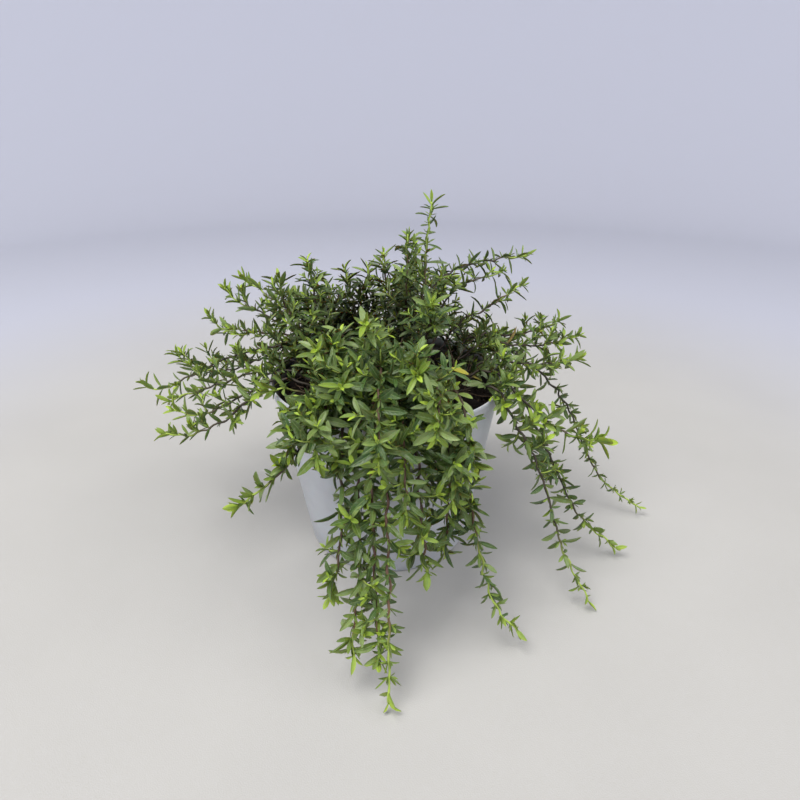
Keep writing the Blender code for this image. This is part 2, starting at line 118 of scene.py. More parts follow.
# Each stem: where it leaves the soil (x, y), then the points that it passes and its tip (x, y, z)
STEMS = {
    "left_1": ((-22, 8), (-48, 10, 104), (-68, 12, 103), (-98, 18, 91), (-127, 22, 75), (-141, 24, 77)),
    "left_2": ((-30, -2), (-50, 0, 101), (-66, 0, 96), (-86, 2, 88), (-118, 2, 77)),
    "left_3": ((-26, 18), (-50, 18, 103), (-66, 16, 97), (-90, 25, 85), (-112, 32, 83), (-123, 36, 92)),
    "left_4": ((-30, 27), (-50, 32, 103), (-64, 37, 102), (-85, 50, 100), (-102, 58, 99), (-109, 62, 106)),
    "left_5": ((-20, 14), (-38, 17, 107), (-55, 21, 112), (-71, 35, 116), (-84, 42, 119), (-93, 46, 127)),
    "left_6": ((-15, 5), (-30, 8, 110), (-48, 12, 122), (-61, 25, 126), (-79, 35, 135)),
    "left_7": ((-34, -9), (-51, -8, 99), (-64, -9, 92), (-78, -12, 84), (-96, -14, 77), (-108, -16, 81)),
    "left_8": ((-31, -18), (-50, -18, 99), (-65, -20, 91), (-79, -24, 80), (-94, -28, 74), (-110, -30, 74)),
    "left_9": ((-24, -32), (-29, -53, 99), (-33, -63, 92), (-45, -68, 77), (-63, -75, 64)),
    "left_10": ((-34, -25), (-46, -28, 98), (-58, -35, 99)),
    "front_1": ((-16, -38), (-17, -58, 101), (-18, -73, 86), (-18, -84, 67), (-19, -92, 50), (-23, -98, 35)),
    "front_2": (
        (-9, -36), (-10, -60, 103), (-11, -80, 77), (-10, -95, 52), (-12, -105, 32), (-13, -112, 17)
    ),
    "front_3": ((1, -39), (1, -62, 104), (1, -87, 80), (2, -107, 47), (2, -116, 25), (2, -124, 4)),
    "front_4": ((-4, -31), (-5, -60, 109), (-5, -83, 84), (-4, -97, 54), (-3, -106, 35), (-2, -115, 18)),
    "front_5": ((11, -36), (13, -60, 103), (14, -80, 80), (16, -88, 57), (17, -92, 40)),
    "front_6": ((24, -32), (30, -54, 100), (34, -67, 84), (39, -78, 54), (47, -88, 24), (59, -93, 9)),
    "right_1": ((33, -19), (50, -29, 100), (61, -38, 84), (73, -48, 62), (84, -60, 29), (97, -69, 5)),
    "right_2": ((38, -6), (55, -10, 100), (67, -14, 87), (85, -22, 54), (100, -28, 26), (122, -33, 6)),
    "right_3": ((35, 15), (56, 21, 101), (78, 25, 90), (101, 22, 66), (123, 12, 24), (147, 4, 6)),
    "right_4": ((29, -12), (50, -20, 104), (67, -30, 91), (84, -38, 80), (102, -42, 77)),
    "right_5": ((29, 7), (48, 9, 106), (64, 13, 105), (83, 20, 102), (106, 28, 105)),
    "right_6": ((37, 2), (54, 2, 101), (68, 4, 98), (84, 8, 96), (103, 14, 96)),
    "right_7": ((28, 22), (48, 24, 106), (70, 28, 105), (89, 38, 106), (99, 45, 108)),
    "right_8": ((21, 10), (36, 12, 116), (50, 16, 123), (62, 25, 128), (74, 32, 133)),
    "right_9": ((15, 18), (26, 19, 120), (38, 26, 133), (49, 33, 135), (63, 38, 138)),
    "right_10": ((12, 11), (22, 15, 132), (34, 23, 142), (50, 34, 144), (77, 46, 145)),
    "crown_1": ((11, -4), (16, -5, 118), (18, -4, 140), (19, -2, 163), (21, 0, 179)),
    "crown_2": ((4, 2), (9, 0, 128), (10, 2, 150), (10, 4, 164)),
    "crown_3": ((-14, -6), (-28, 0, 112), (-35, 5, 128), (-39, 10, 150)),
    "crown_4": ((-2, 10), (1, 12, 126), (-1, 18, 141), (-2, 22, 152)),
    "crown_5": ((-8, 15), (-17, 20, 121), (-23, 30, 142)),
    "crown_6": ((-4, -13), (-6, -30, 114), (-7, -47, 130), (-7, -60, 141)),
    "crown_7": ((9, -12), (18, -20, 118), (20, -32, 134), (20, -40, 145)),
    "crown_8": ((-5, 25), (-12, 31, 120), (-11, 40, 140)),
    "crown_9": ((-16, 24), (-28, 30, 116), (-33, 40, 124), (-36, 46, 130)),
    "crown_10": ((-22, -4), (-42, -4, 116), (-50, 2, 128), (-54, 8, 143)),
    "crown_11": ((6, 22), (11, 30, 122), (15, 37, 143)),
    "brow_1": ((-14, -20), (-22, -36, 117), (-29, -51, 126)),
    "brow_2": ((-23, -24), (-27, -50, 108), (-29, -70, 107)),
    "brow_3": ((5, -23), (9, -47, 119), (13, -70, 124)),
    "brow_4": ((-9, -26), (-14, -48, 115), (-17, -71, 119)),
    "brow_5": ((15, -25), (19, -52, 115), (22, -74, 115), (20, -88, 106)),
    "brow_6": ((-17, -30), (-23, -55, 106), (-27, -72, 101), (-26, -84, 92)),
    "brow_7": ((-2, -22), (-1, -54, 121), (-2, -80, 113), (-1, -97, 98)),
    "brow_8": ((19, -37), (22, -58, 102), (27, -73, 92), (28, -84, 72)),
    "brow_9": ((25, -24), (31, -48, 106), (35, -64, 98), (37, -76, 84)),
    "brow_10": ((-30, -31), (-34, -47, 100), (-37, -60, 96), (-40, -70, 87)),
    "brow_11": ((4, -30), (6, -57, 106), (8, -81, 95), (9, -96, 73)),
    "brow_12": ((18, -44), (23, -58, 98), (27, -69, 84), (27, -75, 60), (26, -78, 40)),
    "back_1": ((33, 26), (48, 38, 102), (66, 55, 88), (76, 70, 60), (80, 80, 38)),
    "back_2": ((22, 30), (32, 52, 104), (42, 72, 92), (50, 92, 68)),
    "back_3": ((12, 36), (16, 60, 103), (20, 82, 84), (22, 98, 48), (20, 108, 16)),
    "back_4": ((3, 28), (4, 50, 117), (6, 72, 118), (8, 92, 110)),
    "back_5": ((-6, 37), (-8, 60, 102), (-12, 80, 84), (-16, 92, 52), (-22, 98, 28)),
    "back_6": ((-16, 34), (-26, 54, 104), (-38, 74, 92), (-48, 90, 72)),
    "back_7": ((-27, 36), (-38, 48, 102), (-56, 64, 88), (-68, 76, 56), (-72, 84, 30)),
    "back_8": ((14, 27), (22, 44, 118), (30, 60, 124), (38, 72, 126)),
    "back_9": ((-20, 28), (-33, 44, 115), (-48, 60, 116), (-60, 70, 110)),
}

# How the sprigs of one side grow: full leaf length and how broad leaves are, distance between leaf
# pairs, spread from the stem in degrees and the same at the tip, lift towards the sky, how far faces
# turn to the light, share of axils with a tuft, how many side shoots, how long, and how many pairs
# from the tip they start, how many pairs from the tip stay young, length of green stem, how red the
# bark is, how many pairs until leaves are full and until their gaps are, and size of the youngest
Habit = namedtuple(
    "Habit",
    "leaf broad gap spread closed lift turn tufts shoots shortest longest clear young green bark swell "
    "stretch bud",
)
HABITS = {
    "left": Habit(9.8, 0.90, 6.4, 50, 22, 0.34, 0.42, 0.8, 8, 6, 12, 5, 2.9, 18, 0.1, 1.6, 3.4, 0.56),
    "front": Habit(11.2, 1.02, 5.3, 58, 28, 0.12, 0.60, 0.95, 13, 5, 12, 4, 2.4, 11, 0.6, 1.6, 3.0, 0.42),
    "right": Habit(10.4, 1.0, 6.0, 56, 26, 0.18, 0.50, 0.9, 9, 5, 11, 4, 1.9, 14, 0.2, 1.7, 3.2, 0.42),
    "crown": Habit(10.6, 0.86, 5.0, 66, 26, 0.08, 0.42, 1.0, 16, 5, 14, 4, 1.1, 9, 0.3, 1.3, 3.2, 0.40),
    "brow": Habit(12.6, 0.96, 4.9, 62, 28, 0.12, 0.55, 1.0, 18, 5, 14, 4, 1.0, 7, 0.5, 1.2, 3.2, 0.40),
    "back": Habit(10.8, 0.92, 5.4, 60, 26, 0.18, 0.50, 0.95, 14, 5, 14, 4, 1.2, 12, 0.3, 1.5, 3.2, 0.42),
}
# The longest stems end in thin green shoots with far, small leaves, and the topmost are thin
SLENDER = {"swell": 12.0, "stretch": 1.5, "bud": 0.52, "clear": 10}
THIN = {"leaf": 9.6, "broad": 0.82, "gap": 6.2, "spread": 72, "shoots": 7, "shortest": 4, "longest": 9}
EXCEPTIONS = {
    "front_3": {"green": 34, "shoots": 9, **SLENDER, "swell": 16.0, "stretch": 0.8, "gap": 7.2},
    "front_6": {"green": 52, "shoots": 4, **SLENDER},
    "right_1": {"green": 34, "broad": 1.12, **SLENDER, "swell": 4.5},
    "right_2": {"green": 28, "broad": 1.12, **SLENDER, "swell": 4.5},
    "right_3": {"green": 28, "leaf": 9.5, **SLENDER, "swell": 7.0},
    "right_4": {"young": 3.6, "bud": 0.78, "broad": 1.12},
    "right_8": THIN,
    "right_9": THIN,
    "right_10": THIN,
    "left_1": {"green": 24, "tufts": 0.5, "gap": 7.0},
    "left_2": {"shoots": 12, "longest": 15},
    "left_3": {"shoots": 14, "longest": 16},
    "left_9": {"leaf": 11.6, "broad": 1.15, "gap": 7.6, "shoots": 6},
    "brow_9": {"bark": 0.05, "shoots": 24},
    "crown_1": {
        **THIN, "broad": 0.72, "spread": 82, "closed": 12, "lift": 0, "gap": 4.4, "shoots": 6,
        "bud": 0.6, "green": 30,
    },
}

# Straight gaps in the leaves through which soil and pot show: both ends of a gap's axis, and radius
GAPS = (
    ((43, -11, 85), (34, -75, 116), 7.5),
    ((28, 40, 93), (21.5, -50, 127), 5.5),
    ((40, -13, 101), (33, -62, 121), 5.5),
    ((45.5, -44, 84), (39, -84, 104), 5.0),
    ((-46.5, 1, 87), (-34.5, -64, 116), 4.5),
)
# Single leaves in or by those gaps, under the sprig that bears them: how far along its stem,
# heading, length, how young, and how far faded
LONE_LEAVES = {
    "right_4": ((16, (-0.87, 0.2, 0.40), 11.0, 0.1, 0.5), (16, (0.85, -0.23, -0.25), 7.0, 0.1, 0.6)),
    "right_1": ((19, (-0.90, 0.05, 0.16), 11.5, 0.0, 0.02), (19, (0.70, -0.2, -0.55), 11.0, 0.0, 0.02)),
    "brow_6": ((33, (-0.15, -0.6, -0.7), 9.0, 0.1, 1.0),),
    "brow_9": (
        (18, (-0.30, -0.1, 0.95), 10.0, 0.45, 0.02),
        (18, (0.45, -0.3, 0.80), 8.5, 0.6, 0.02),
        (19, (0.70, -0.55, -0.25), 9.5, 0.5, 0.02),
        (19, (-0.65, -0.5, 0.10), 9.0, 0.5, 0.02),
        (20, (0.25, -0.7, 0.55), 6.0, 0.85, 0.02),
        (20, (-0.20, -0.75, 0.45), 5.5, 0.9, 0.02),
        (32, (0.55, -0.70, 0.25), 9.0, 0.25, 0.02),
        (32, (-0.55, -0.75, 0.05), 9.5, 0.2, 0.02),
        (37, (0.50, -0.75, -0.25), 9.5, 0.2, 0.02),
        (37, (-0.35, -0.85, -0.20), 9.5, 0.2, 0.02),
        (43, (0.60, -0.60, -0.45), 9.0, 0.2, 0.02),
    ),
}


# Arrays


def unit(vectors):
    """Vectors divided by their lengths, over the last axis."""
    return vectors / np.maximum(np.linalg.norm(vectors, axis=-1, keepdims=True), 1e-9)


def dot(first, second):
    """The scalar product over the last axis, kept as an axis of one."""
    return (first * second).sum(axis=-1, keepdims=True)


def span_lengths(points):
    return np.linalg.norm(np.diff(points, axis=0), axis=1)


def distances_along(line):
    """How far along a polyline each of its points lies."""
    return np.concatenate([[0], np.cumsum(span_lengths(line))])


def read_at(places, travelled, values):
    """Rows of values, which stand at the distances travelled, read at other places by straight lines."""
    return np.stack([np.interp(places, travelled, column) for column in values.T], axis=1)


def ripples(places, width, rng, waves=28):
    """A smooth random height at each 2-D or 3-D place, of about unit size, with lumps of a width.

    It is the sum of plane waves, sine of (direction . place x 2 pi / wavelength + phase), each with
    a random direction, phase and a wavelength from 0.7 to 1.6 widths, over the root of half their
    number.
    """
    directions = unit(rng.normal(size=(waves, places.shape[-1])))
    pitches = math.tau / (width * rng.uniform(0.7, 1.6, waves))
    phases = rng.uniform(0, math.tau, waves)
    return np.sin(places @ (directions * pitches[:, None]).T + phases).sum(axis=-1) / math.sqrt(waves / 2)


# Meshes


def loft_faces(rings, sides, copies=1):
    """Faces of closed tubes: quads between rings, and a fan from each end ring to its own end point.

    Each copy's points are its rings in turn, each counted the way that a right hand's fingers curl
    when the thumb points from the first ring to the last, then its first and its last end point.
    """
    ring = np.arange(sides)
    following = (ring + 1) % sides
    rows = (np.arange(rings - 1) * sides)[:, None]
    quads = np.stack([rows + ring, rows + following, rows + sides + following, rows + sides + ring], -1)
    top, first, last = (rings - 1) * sides, rings * sides, rings * sides + 1
    ends = [
        np.stack([following, ring, np.full(sides, first)], -1),
        np.stack([top + ring, top + following, np.full(sides, last)], -1),
    ]
    shifts = (np.arange(copies) * (rings * sides + 2))[:, None, None]
    return (quads.reshape(1, -1, 4) + shifts).reshape(-1, 4), (np.vstack(ends)[None] + shifts).reshape(-1, 3)


class Skin:
    """Points and faces gathered for one mesh, with a number of each kind at every point."""

    NUMBERS = ("age", "tone", "under", "dry", "across", "along", "rim")

    def __init__(self):
        self.points = []
        self.quads = []
        self.tris = []
        self.finish = []
        self.numbers = {name: [] for name in self.NUMBERS}
        self.count = 0

    def add(self, points, faces, finish=0, **numbers):
        """Adds a surface: its points, its (quads, tris), its finish's slot and its points' numbers."""
        points = points.reshape(-1, 3)
        self.points.append(points)
        self.quads.append(faces[0] + self.count)
        self.tris.append(faces[1] + self.count)
        self.finish.append((np.full(len(faces[0]), finish), np.full(len(faces[1]), finish)))
        for name in self.NUMBERS:
            given = np.broadcast_to(np.asarray(numbers.get(name, 0.0), float).reshape(-1), (len(points),))
            self.numbers[name].append(given)
        self.count += len(points)

    def mesh(self, name, finishes, scale=MM):
        """The gathered surfaces as one Blender mesh, smooth but for sharp edges along leaf rims."""
        quads, tris = np.vstack(self.quads), np.vstack(self.tris)
        corners = np.concatenate([quads.ravel(), tris.ravel()])
        starts = np.concatenate([np.arange(len(quads)) * 4, quads.size + np.arange(len(tris)) * 3])
        slots = np.concatenate([part[kind] for kind in (0, 1) for part in self.finish])
        made = bpy.data.meshes.new(name)
        made.vertices.add(self.count)
        made.vertices.foreach_set("co", (np.vstack(self.points) * scale).astype(np.float32).ravel())
        made.loops.add(len(corners))
        made.loops.foreach_set("vertex_index", corners.astype(np.int32))
        made.polygons.add(len(starts))
        made.polygons.foreach_set("loop_start", starts.astype(np.int32))
        made.polygons.foreach_set("material_index", slots.astype(np.int32))
        made.polygons.foreach_set("use_smooth", np.ones(len(starts), bool))
        made.update(calc_edges=True)
        numbers = {key: np.concatenate(parts).astype(np.float32) for key, parts in self.numbers.items()}
        for key in ("age", "tone", "under", "dry"):
            made.attributes.new(key, "FLOAT", "POINT").data.foreach_set("value", numbers[key])
        blade_map = np.stack([numbers["across"], numbers["along"]], -1)[corners]
        made.uv_layers.new(name="blade").data.foreach_set("uv", blade_map.ravel())
        ends = np.zeros(len(made.edges) * 2, np.int32)
        made.edges.foreach_get("vertices", ends)
        sharp = (numbers["rim"][ends.reshape(-1, 2)] > 0).all(axis=1)
        made.attributes.new("sharp_edge", "BOOLEAN", "EDGE").data.foreach_set("value", sharp)
        for finish in finishes:
            made.materials.append(finish)
        return made


def show(name, mesh, node=None):
    """Puts a mesh in the scene as a piece that moves with the pot, in place of a plain solid."""
    piece = bpy.data.objects.new(name, mesh)
    bpy.context.scene.collection.objects.link(piece)
    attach(piece, "root")
    if node:
        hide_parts(node)
    return piece


# Shader maths


class Shade:
    """A shader socket. Python's operators on it add Math nodes, and node() adds any other."""

    def __init__(self, tree, socket=None):
        self.tree = tree
        self.socket = socket

    def node(self, kind, settings=None, values=None, out=0):
        """Adds a node: its settings first, then a value or a link for each named or numbered socket."""
        made = self.tree.nodes.new(kind)
        for name, value in (settings or {}).items():
            if name == "stops":
                self.set_stops(made.color_ramp, value)
            else:
                setattr(made, name, value)
        for name, value in (values or {}).items():
            if isinstance(value, Shade):
                self.tree.links.new(value.socket, made.inputs[name])
            else:
                made.inputs[name].default_value = value
        return Shade(self.tree, made.outputs[out])

    @staticmethod
    def set_stops(ramp, stops):
        while len(ramp.elements) < len(stops):
            ramp.elements.new(1.0)
        for element, (place, colour) in zip(ramp.elements, stops):
            element.position = place
            element.color = (*colour[:3], 1)

    def maths(self, operation, *terms):
        return self.node("ShaderNodeMath", {"operation": operation}, dict(enumerate(terms)))

    def __add__(self, other):
        return self.maths("ADD", self, other)

    def __radd__(self, other):
        return self.maths("ADD", other, self)

    def __sub__(self, other):
        return self.maths("SUBTRACT", self, other)

    def __rsub__(self, other):
        return self.maths("SUBTRACT", other, self)

    def __mul__(self, other):
        return self.maths("MULTIPLY", self, other)

    def __rmul__(self, other):
        return self.maths("MULTIPLY", other, self)

    def __abs__(self):
        return self.maths("ABSOLUTE", self)

    def sine(self):
        return self.maths("SINE", self)

    def step(self, low, high, bottom=0.0, top=1.0):
        """A smooth step from bottom to top as this goes from low to high."""
        values = dict(enumerate((self, low, high, bottom, top)))
        return self.node("ShaderNodeMapRange", {"interpolation_type": "SMOOTHSTEP"}, values)

    def ramp(self, *stops):
        """A colour read from stops, each (place, colour)."""
        return self.node("ShaderNodeValToRGB", {"stops": stops}, {"Fac": self})

    def blend(self, other, share, how="MIX"):
        """This colour mixed with another by a share."""
        settings = {"data_type": "RGBA", "blend_type": how}
        other = other if isinstance(other, Shade) else (*other[:3], 1)
        return self.node("ShaderNodeMix", settings, {"Factor": share, 6: self, 7: other}, out=2)

    def place(self):
        """The point's own place, as object coordinates."""
        return self.node("ShaderNodeTexCoord", out="Object")

    def part(self, index):
        """One of the three numbers of this vector."""
        return self.node("ShaderNodeSeparateXYZ", None, {0: self}, out=index)

    def length(self):
        """The length of this vector."""
        return self.node("ShaderNodeVectorMath", {"operation": "LENGTH"}, {0: self}, out="Value")

    def noise(self, scale, detail=3.0, roughness=0.5):
        """Fractal noise, 0 to 1, on object coordinates, with a scale per metre."""
        values = {"Vector": self.place(), "Scale": scale, "Detail": detail, "Roughness": roughness}
        return self.node("ShaderNodeTexNoise", None, values)

    def number(self, name):
        """The mesh's own number of a name at each point."""
        return self.node("ShaderNodeAttribute", {"attribute_name": name}, out="Fac")

    def bump(self, depth, strength=1.0):
        """A normal from this height, 0 to 1, over a depth in metres."""
        values = {"Height": self, "Distance": depth, "Strength": strength}
        return self.node("ShaderNodeBump", None, values)


def new_finish(name, **constants):
    """A material with a Principled shader, its constant sockets set: (material, start, feed)."""
    made = bpy.data.materials.new(name)
    made.use_nodes = True
    shader = made.node_tree.nodes["Principled BSDF"]
    for socket, value in constants.items():
        shader.inputs[socket.replace("_", " ")].default_value = value

    def feed(socket, shade):
        made.node_tree.links.new(shade.socket, shader.inputs[socket])

    return made, Shade(made.node_tree), feed


# Sizes and colours


def colour_setting(name, description, *default):
    """A colour that a user can change."""
    return FloatVectorProperty(name=name, description=description, subtype="COLOR", size=3, default=default)


def length_setting(name, description, default):
    """A length in metres that a user can change."""
    return FloatProperty(name=name, description=description, default=default, unit="LENGTH")


def share_setting(name, description, default, least=0.0, largest=1.0):
    """A share that a user can change."""
    return FloatProperty(
        name=name, description=description, default=default, min=least, max=largest, subtype="FACTOR"
    )


def count_setting(name, description, default, least=0):
    """A whole number that a user can change."""
    return IntProperty(name=name, description=description, default=default, min=least)


class PotSettings(bpy.types.PropertyGroup):
    colour: colour_setting("Plastic", "Colour of the pot's plastic", 0.49, 0.51, 0.535)
    sides: count_setting("Sides", "Points in each ring of the pot", 160, least=24)
    soil_splash: share_setting("Soil dust", "How much soil dust clings to the plastic", 0.35)


class SoilSettings(bpy.types.PropertyGroup):
    colour: colour_setting("Peat", "Colour of damp peat", 0.014, 0.009, 0.0065)
    crumbs: count_setting("Crumbs", "Loose crumbs on the soil", 1200)
    crumb_size: length_setting("Crumb size", "Size of the largest crumbs", 0.0034)
    twigs: count_setting("Twigs", "Dry twigs and roots on the soil", 34)
    snags: count_setting("Snags", "Dead stems that stand in the soil", 90)
    seed: count_setting("Seed", "Seed of the soil's random draws", 11)


class SprigSettings(bpy.types.PropertyGroup):
    leaf_scale: share_setting("Leaf size", "Scale of every leaf", 1.0, least=0.2, largest=3.0)
    leaf_shape: share_setting("Leaf width", "Width of a full leaf as a share of its length", 0.27)
    blade_thickness: length_setting("Blade thickness", "Thickness of a full leaf at its midrib", 0.00042)
    stem_radius: length_setting("Stem radius", "Radius of a stem where it leaves the soil", 0.0008)
    old_green: colour_setting("Old green", "Colour of the oldest leaves", 0.053, 0.095, 0.007)
    full_green: colour_setting("Full green", "Colour of grown leaves", 0.170, 0.262, 0.026)
    young_green: colour_setting("Young green", "Colour of the youngest leaves", 0.40, 0.56, 0.045)
    seed: count_setting("Seed", "Seed of the sprigs' random draws", 5)


class StageSettings(bpy.types.PropertyGroup):
    floor: colour_setting("Floor", "Colour of the floor", 0.475, 0.47, 0.455)
    backdrop: colour_setting("Backdrop", "Colour of the floor far from the plant", 0.64, 0.66, 0.76)
    sky: colour_setting("Surroundings", "Colour of the soft light from all round", 1.0, 0.99, 0.95)
    sky_light: FloatProperty(name="Soft light", description="Strength of that light", default=0.22, min=0)
    key_light: FloatProperty(
        name="Key light", description="Power of the large lamp above", default=26.0, unit="POWER"
    )
    lens: FloatProperty(name="Lens", description="Focal length in millimetres", default=27.05)
    camera_tilt: FloatProperty(
        name="Camera tilt",
        description="How far the camera looks down",
        default=math.radians(26),
        subtype="ANGLE",
    )


# The stems' routes


def stem_route(root, *passed):
    """A stem's line from its collar above the soil, as a Catmull-Rom curve through what it passes.

    Each span is a cubic from one point to the next, with a slope at each end that is half the way
    between the points on either side of it. The first slope looks back to the foot in the soil.
    """
    foot, collar = (*root, STEM_FOOT), (*root, STEM_COLLAR)
    padded = np.array([foot, collar, *passed, 2 * np.array(passed[-1]) - passed[-2]], float)
    t = np.linspace(0, 1, SPAN_POINTS, endpoint=False)[:, None]
    spans = []
    for a, b, c, d in zip(padded, padded[1:], padded[2:], padded[3:]):
        curve = 2 * b + (c - a) * t + (2 * a - 5 * b + 4 * c - d) * t**2
        spans.append((curve + (3 * b - a - 3 * c + d) * t**3) / 2)
    points = np.vstack([*spans, padded[-2:-1]])
    travelled = distances_along(points)
    return read_at(np.linspace(0, travelled[-1], ROUTE_POINTS), travelled, points)


def keep_off_pot(line):
    """Holds a line off a round guard along the pot's lip, off its wall below that, and off the ground."""
    lip_radius, lip_height = RIM_RADIUS - LIP_INSET, POT_HEIGHT - LIP_INSET
    radius = np.hypot(line[:, 0], line[:, 1])
    out, up = radius - lip_radius, line[:, 2] - lip_height
    grow = np.maximum(1, RIM_CLEARANCE / np.hypot(out, up))
    beside_wall = (up < 0) & (out > -RIM_CLEARANCE)
    wanted = lip_radius + out * grow
    wanted[beside_wall] = np.maximum(wanted[beside_wall], RIM_RADIUS + WALL_CLEARANCE)
    line[:, :2] *= (wanted / radius)[:, None]
    line[:, 2] = np.maximum(lip_height + up * grow, GROUND_CLEARANCE)


def crowding(lines):
    """How far and which way each point of each line is pushed by points of other lines too near it."""
    flat = lines.reshape(-1, 3)
    owner = np.repeat(np.arange(len(lines)), lines.shape[1])
    tree = kdtree.KDTree(len(flat))
    for i, point in enumerate(flat):
        tree.insert(point, i)
    tree.balance()
    push = np.zeros_like(flat)
    for i, point in enumerate(flat):
        for other, j, distance in tree.find_range(point, STEM_CLEARANCE):
            if owner[i] != owner[j]:
                push[i] += unit(point - np.array(other)) * (STEM_CLEARANCE - distance) / 2
    return push.reshape(lines.shape)


def bend_clear(routes):
    """Bends stems apart, a little at a time, until no two come nearer than the clearance."""
    lines = np.array(list(routes.values()))
    for _ in range(BEND_ROUNDS):
        for line in lines:
            keep_off_pot(line)
        push = crowding(lines)
        if not push.any():
            break
        for _ in range(2):
            push[:, 1:-1] = (push[:, :-2] + 2 * push[:, 1:-1] + push[:, 2:]) / 4
        push[:, 0, 2] = 0
        lines = lines + push
    return dict(zip(routes, lines))


def soil_height(x, y):
    """The soil's mean height: a low crown that falls by the square of the distance from the middle."""
    return SOIL_TOP + SOIL_CROWN * (1 - (x**2 + y**2) / RIM_RADIUS**2)


# The pot


def wall_radius(height):
    """The outer radius of the pot's plain wall at a height."""
    top = RIM_RADIUS - RIM_BAND_STEP
    return FOOT_RADIUS + (top - FOOT_RADIUS) * height / POT_HEIGHT


# A corner's arc: its steps, the most of an edge that it takes, and how many of its reaches from the
# corner the points stand that keep the edges flat
ARC_STEPS, ARC_SHARE, ARC_HOLD = 4, 0.4, 1.25


def rounded(outline, radius):
    """An outline whose corners are cut by arcs, with a point at each arc's ends and on either side.

    Each corner becomes a quadratic curve between the points a radius before and after it, which is
    near a round fillet. The points on either side of it keep the long flat stretches flat.
    """
    points = [outline[:1]]
    share = np.linspace(0, 1, ARC_STEPS + 1)[:, None]
    for before, corner, after in zip(outline, outline[1:], outline[2:]):
        lead, leave = unit(before - corner), unit(after - corner)
        edges = np.linalg.norm(before - corner), np.linalg.norm(after - corner)
        reach = min(radius, ARC_SHARE * min(edges))
        start, end = corner + lead * reach, corner + leave * reach
        points.append(corner + lead * reach * ARC_HOLD)
        points.append(start * (1 - share) ** 2 + 2 * corner * share * (1 - share) + end * share**2)
        points.append(corner + leave * reach * ARC_HOLD)
    return np.vstack([np.atleast_2d(p) for p in points] + [outline[-1:]])


def inner_shade_rings(profile, sides):
    """For a pot's turned surface, the mask of its painted shade: 1 at the points inside, which come after
    the lip, and 0 outside.
    """
    lip = profile[:, 1].argmax()
    inside = (np.arange(1, len(profile) - 1) > lip).astype(float)
    return np.append(np.repeat(inside, sides), (0, 1))


def turned_surface(profile, sides):
    """A profile of (radius, height) points turned about Z, its first and last points on the axis.

    A point stands at (radius x cosine, radius x sine, height) for each of the turn's equal angles.
    """
    angles = np.arange(sides) / sides * math.tau
    circle = np.stack([np.cos(angles), np.sin(angles)], -1)
    inner = profile[1:-1]
    rings = np.empty((len(inner), sides, 3))
    rings[..., :2] = inner[:, None, :1] * circle
    rings[..., 2] = inner[:, None, 1]
    ends = [(0, 0, profile[0][1]), (0, 0, profile[-1][1])]
    return np.vstack([rings.reshape(-1, 3), ends]), loft_faces(len(inner), sides)


def pot_profile():
    """The pot's section from the middle of its foot, up the outside, over the lip to the inner floor."""
    band_foot = POT_HEIGHT - RIM_BAND_HEIGHT
    outline = np.array(
        [
            (0, 0),
            (FOOT_PAD_RADIUS, 0),
            (FOOT_PAD_RADIUS + FOOT_CHAMFER, FOOT_RECESS),
            (FOOT_RING_INSIDE - FOOT_CHAMFER, FOOT_RECESS),
            (FOOT_RING_INSIDE, 0),
            (FOOT_RADIUS - FOOT_CHAMFER / 2, 0),
            (wall_radius(FOOT_CHAMFER), FOOT_CHAMFER),
            (wall_radius(band_foot), band_foot - EDGE),
            (wall_radius(band_foot) + RIM_BAND_STEP, band_foot + EDGE),
            (RIM_RADIUS, POT_HEIGHT - 2 * EDGE),
            (RIM_RADIUS - WALL / 4, POT_HEIGHT),
            (RIM_RADIUS - WALL * 3 / 4, POT_HEIGHT),
            (RIM_RADIUS - WALL, POT_HEIGHT - 2 * EDGE),
            (wall_radius(band_foot) - WALL + RIM_BAND_STEP, band_foot + 2 * EDGE),
            (wall_radius(band_foot) - WALL, band_foot),
            (wall_radius(INNER_FLOOR + INNER_CORNER) - WALL, INNER_FLOOR + INNER_CORNER),
            (wall_radius(INNER_FLOOR) - WALL - INNER_CORNER, INNER_FLOOR),
            (0, INNER_FLOOR),
        ]
    )
    return rounded(outline, CORNER_ROUNDING)


def cut_drain_holes(pot):
    """Cuts round holes through the pot's floor with a Boolean, which is then applied."""
    cutters = bpy.data.collections.new("drain holes")
    for i in range(DRAIN_HOLES):
        angle = math.tau * i / DRAIN_HOLES
        side = [(DRAIN_HOLE_RADIUS, DRILL_FROM), (DRAIN_HOLE_RADIUS, DRILL_TO)]
        outline = np.array([(0, DRILL_FROM), *side, (0, DRILL_TO)])
        points, faces = turned_surface(outline, DRAIN_HOLE_SIDES)
        points += (DRAIN_CIRCLE * math.cos(angle), DRAIN_CIRCLE * math.sin(angle), 0)
        drill = Skin()
        drill.add(points, faces)
        cutters.objects.link(bpy.data.objects.new(f"drain {i}", drill.mesh(f"drain {i}", ())))
    cut = pot.modifiers.new("drain holes", "BOOLEAN")
    cut.operation = "DIFFERENCE"
    cut.operand_type = "COLLECTION"
    cut.collection = cutters
    bpy.context.view_layer.update()
    graph = bpy.context.evaluated_depsgraph_get()
    made = bpy.data.meshes.new_from_object(pot.evaluated_get(graph))
    pot.modifiers.clear()
    pot.data = made
    for cutter in list(cutters.objects):
        bpy.data.objects.remove(cutter)
    bpy.data.collections.remove(cutters)


DUST = (0.16, 0.13, 0.10)
# Near-black painted shade, coloured like wet peat, inside the pot's wall
INNER_SHADE = (0.030, 0.022, 0.016)


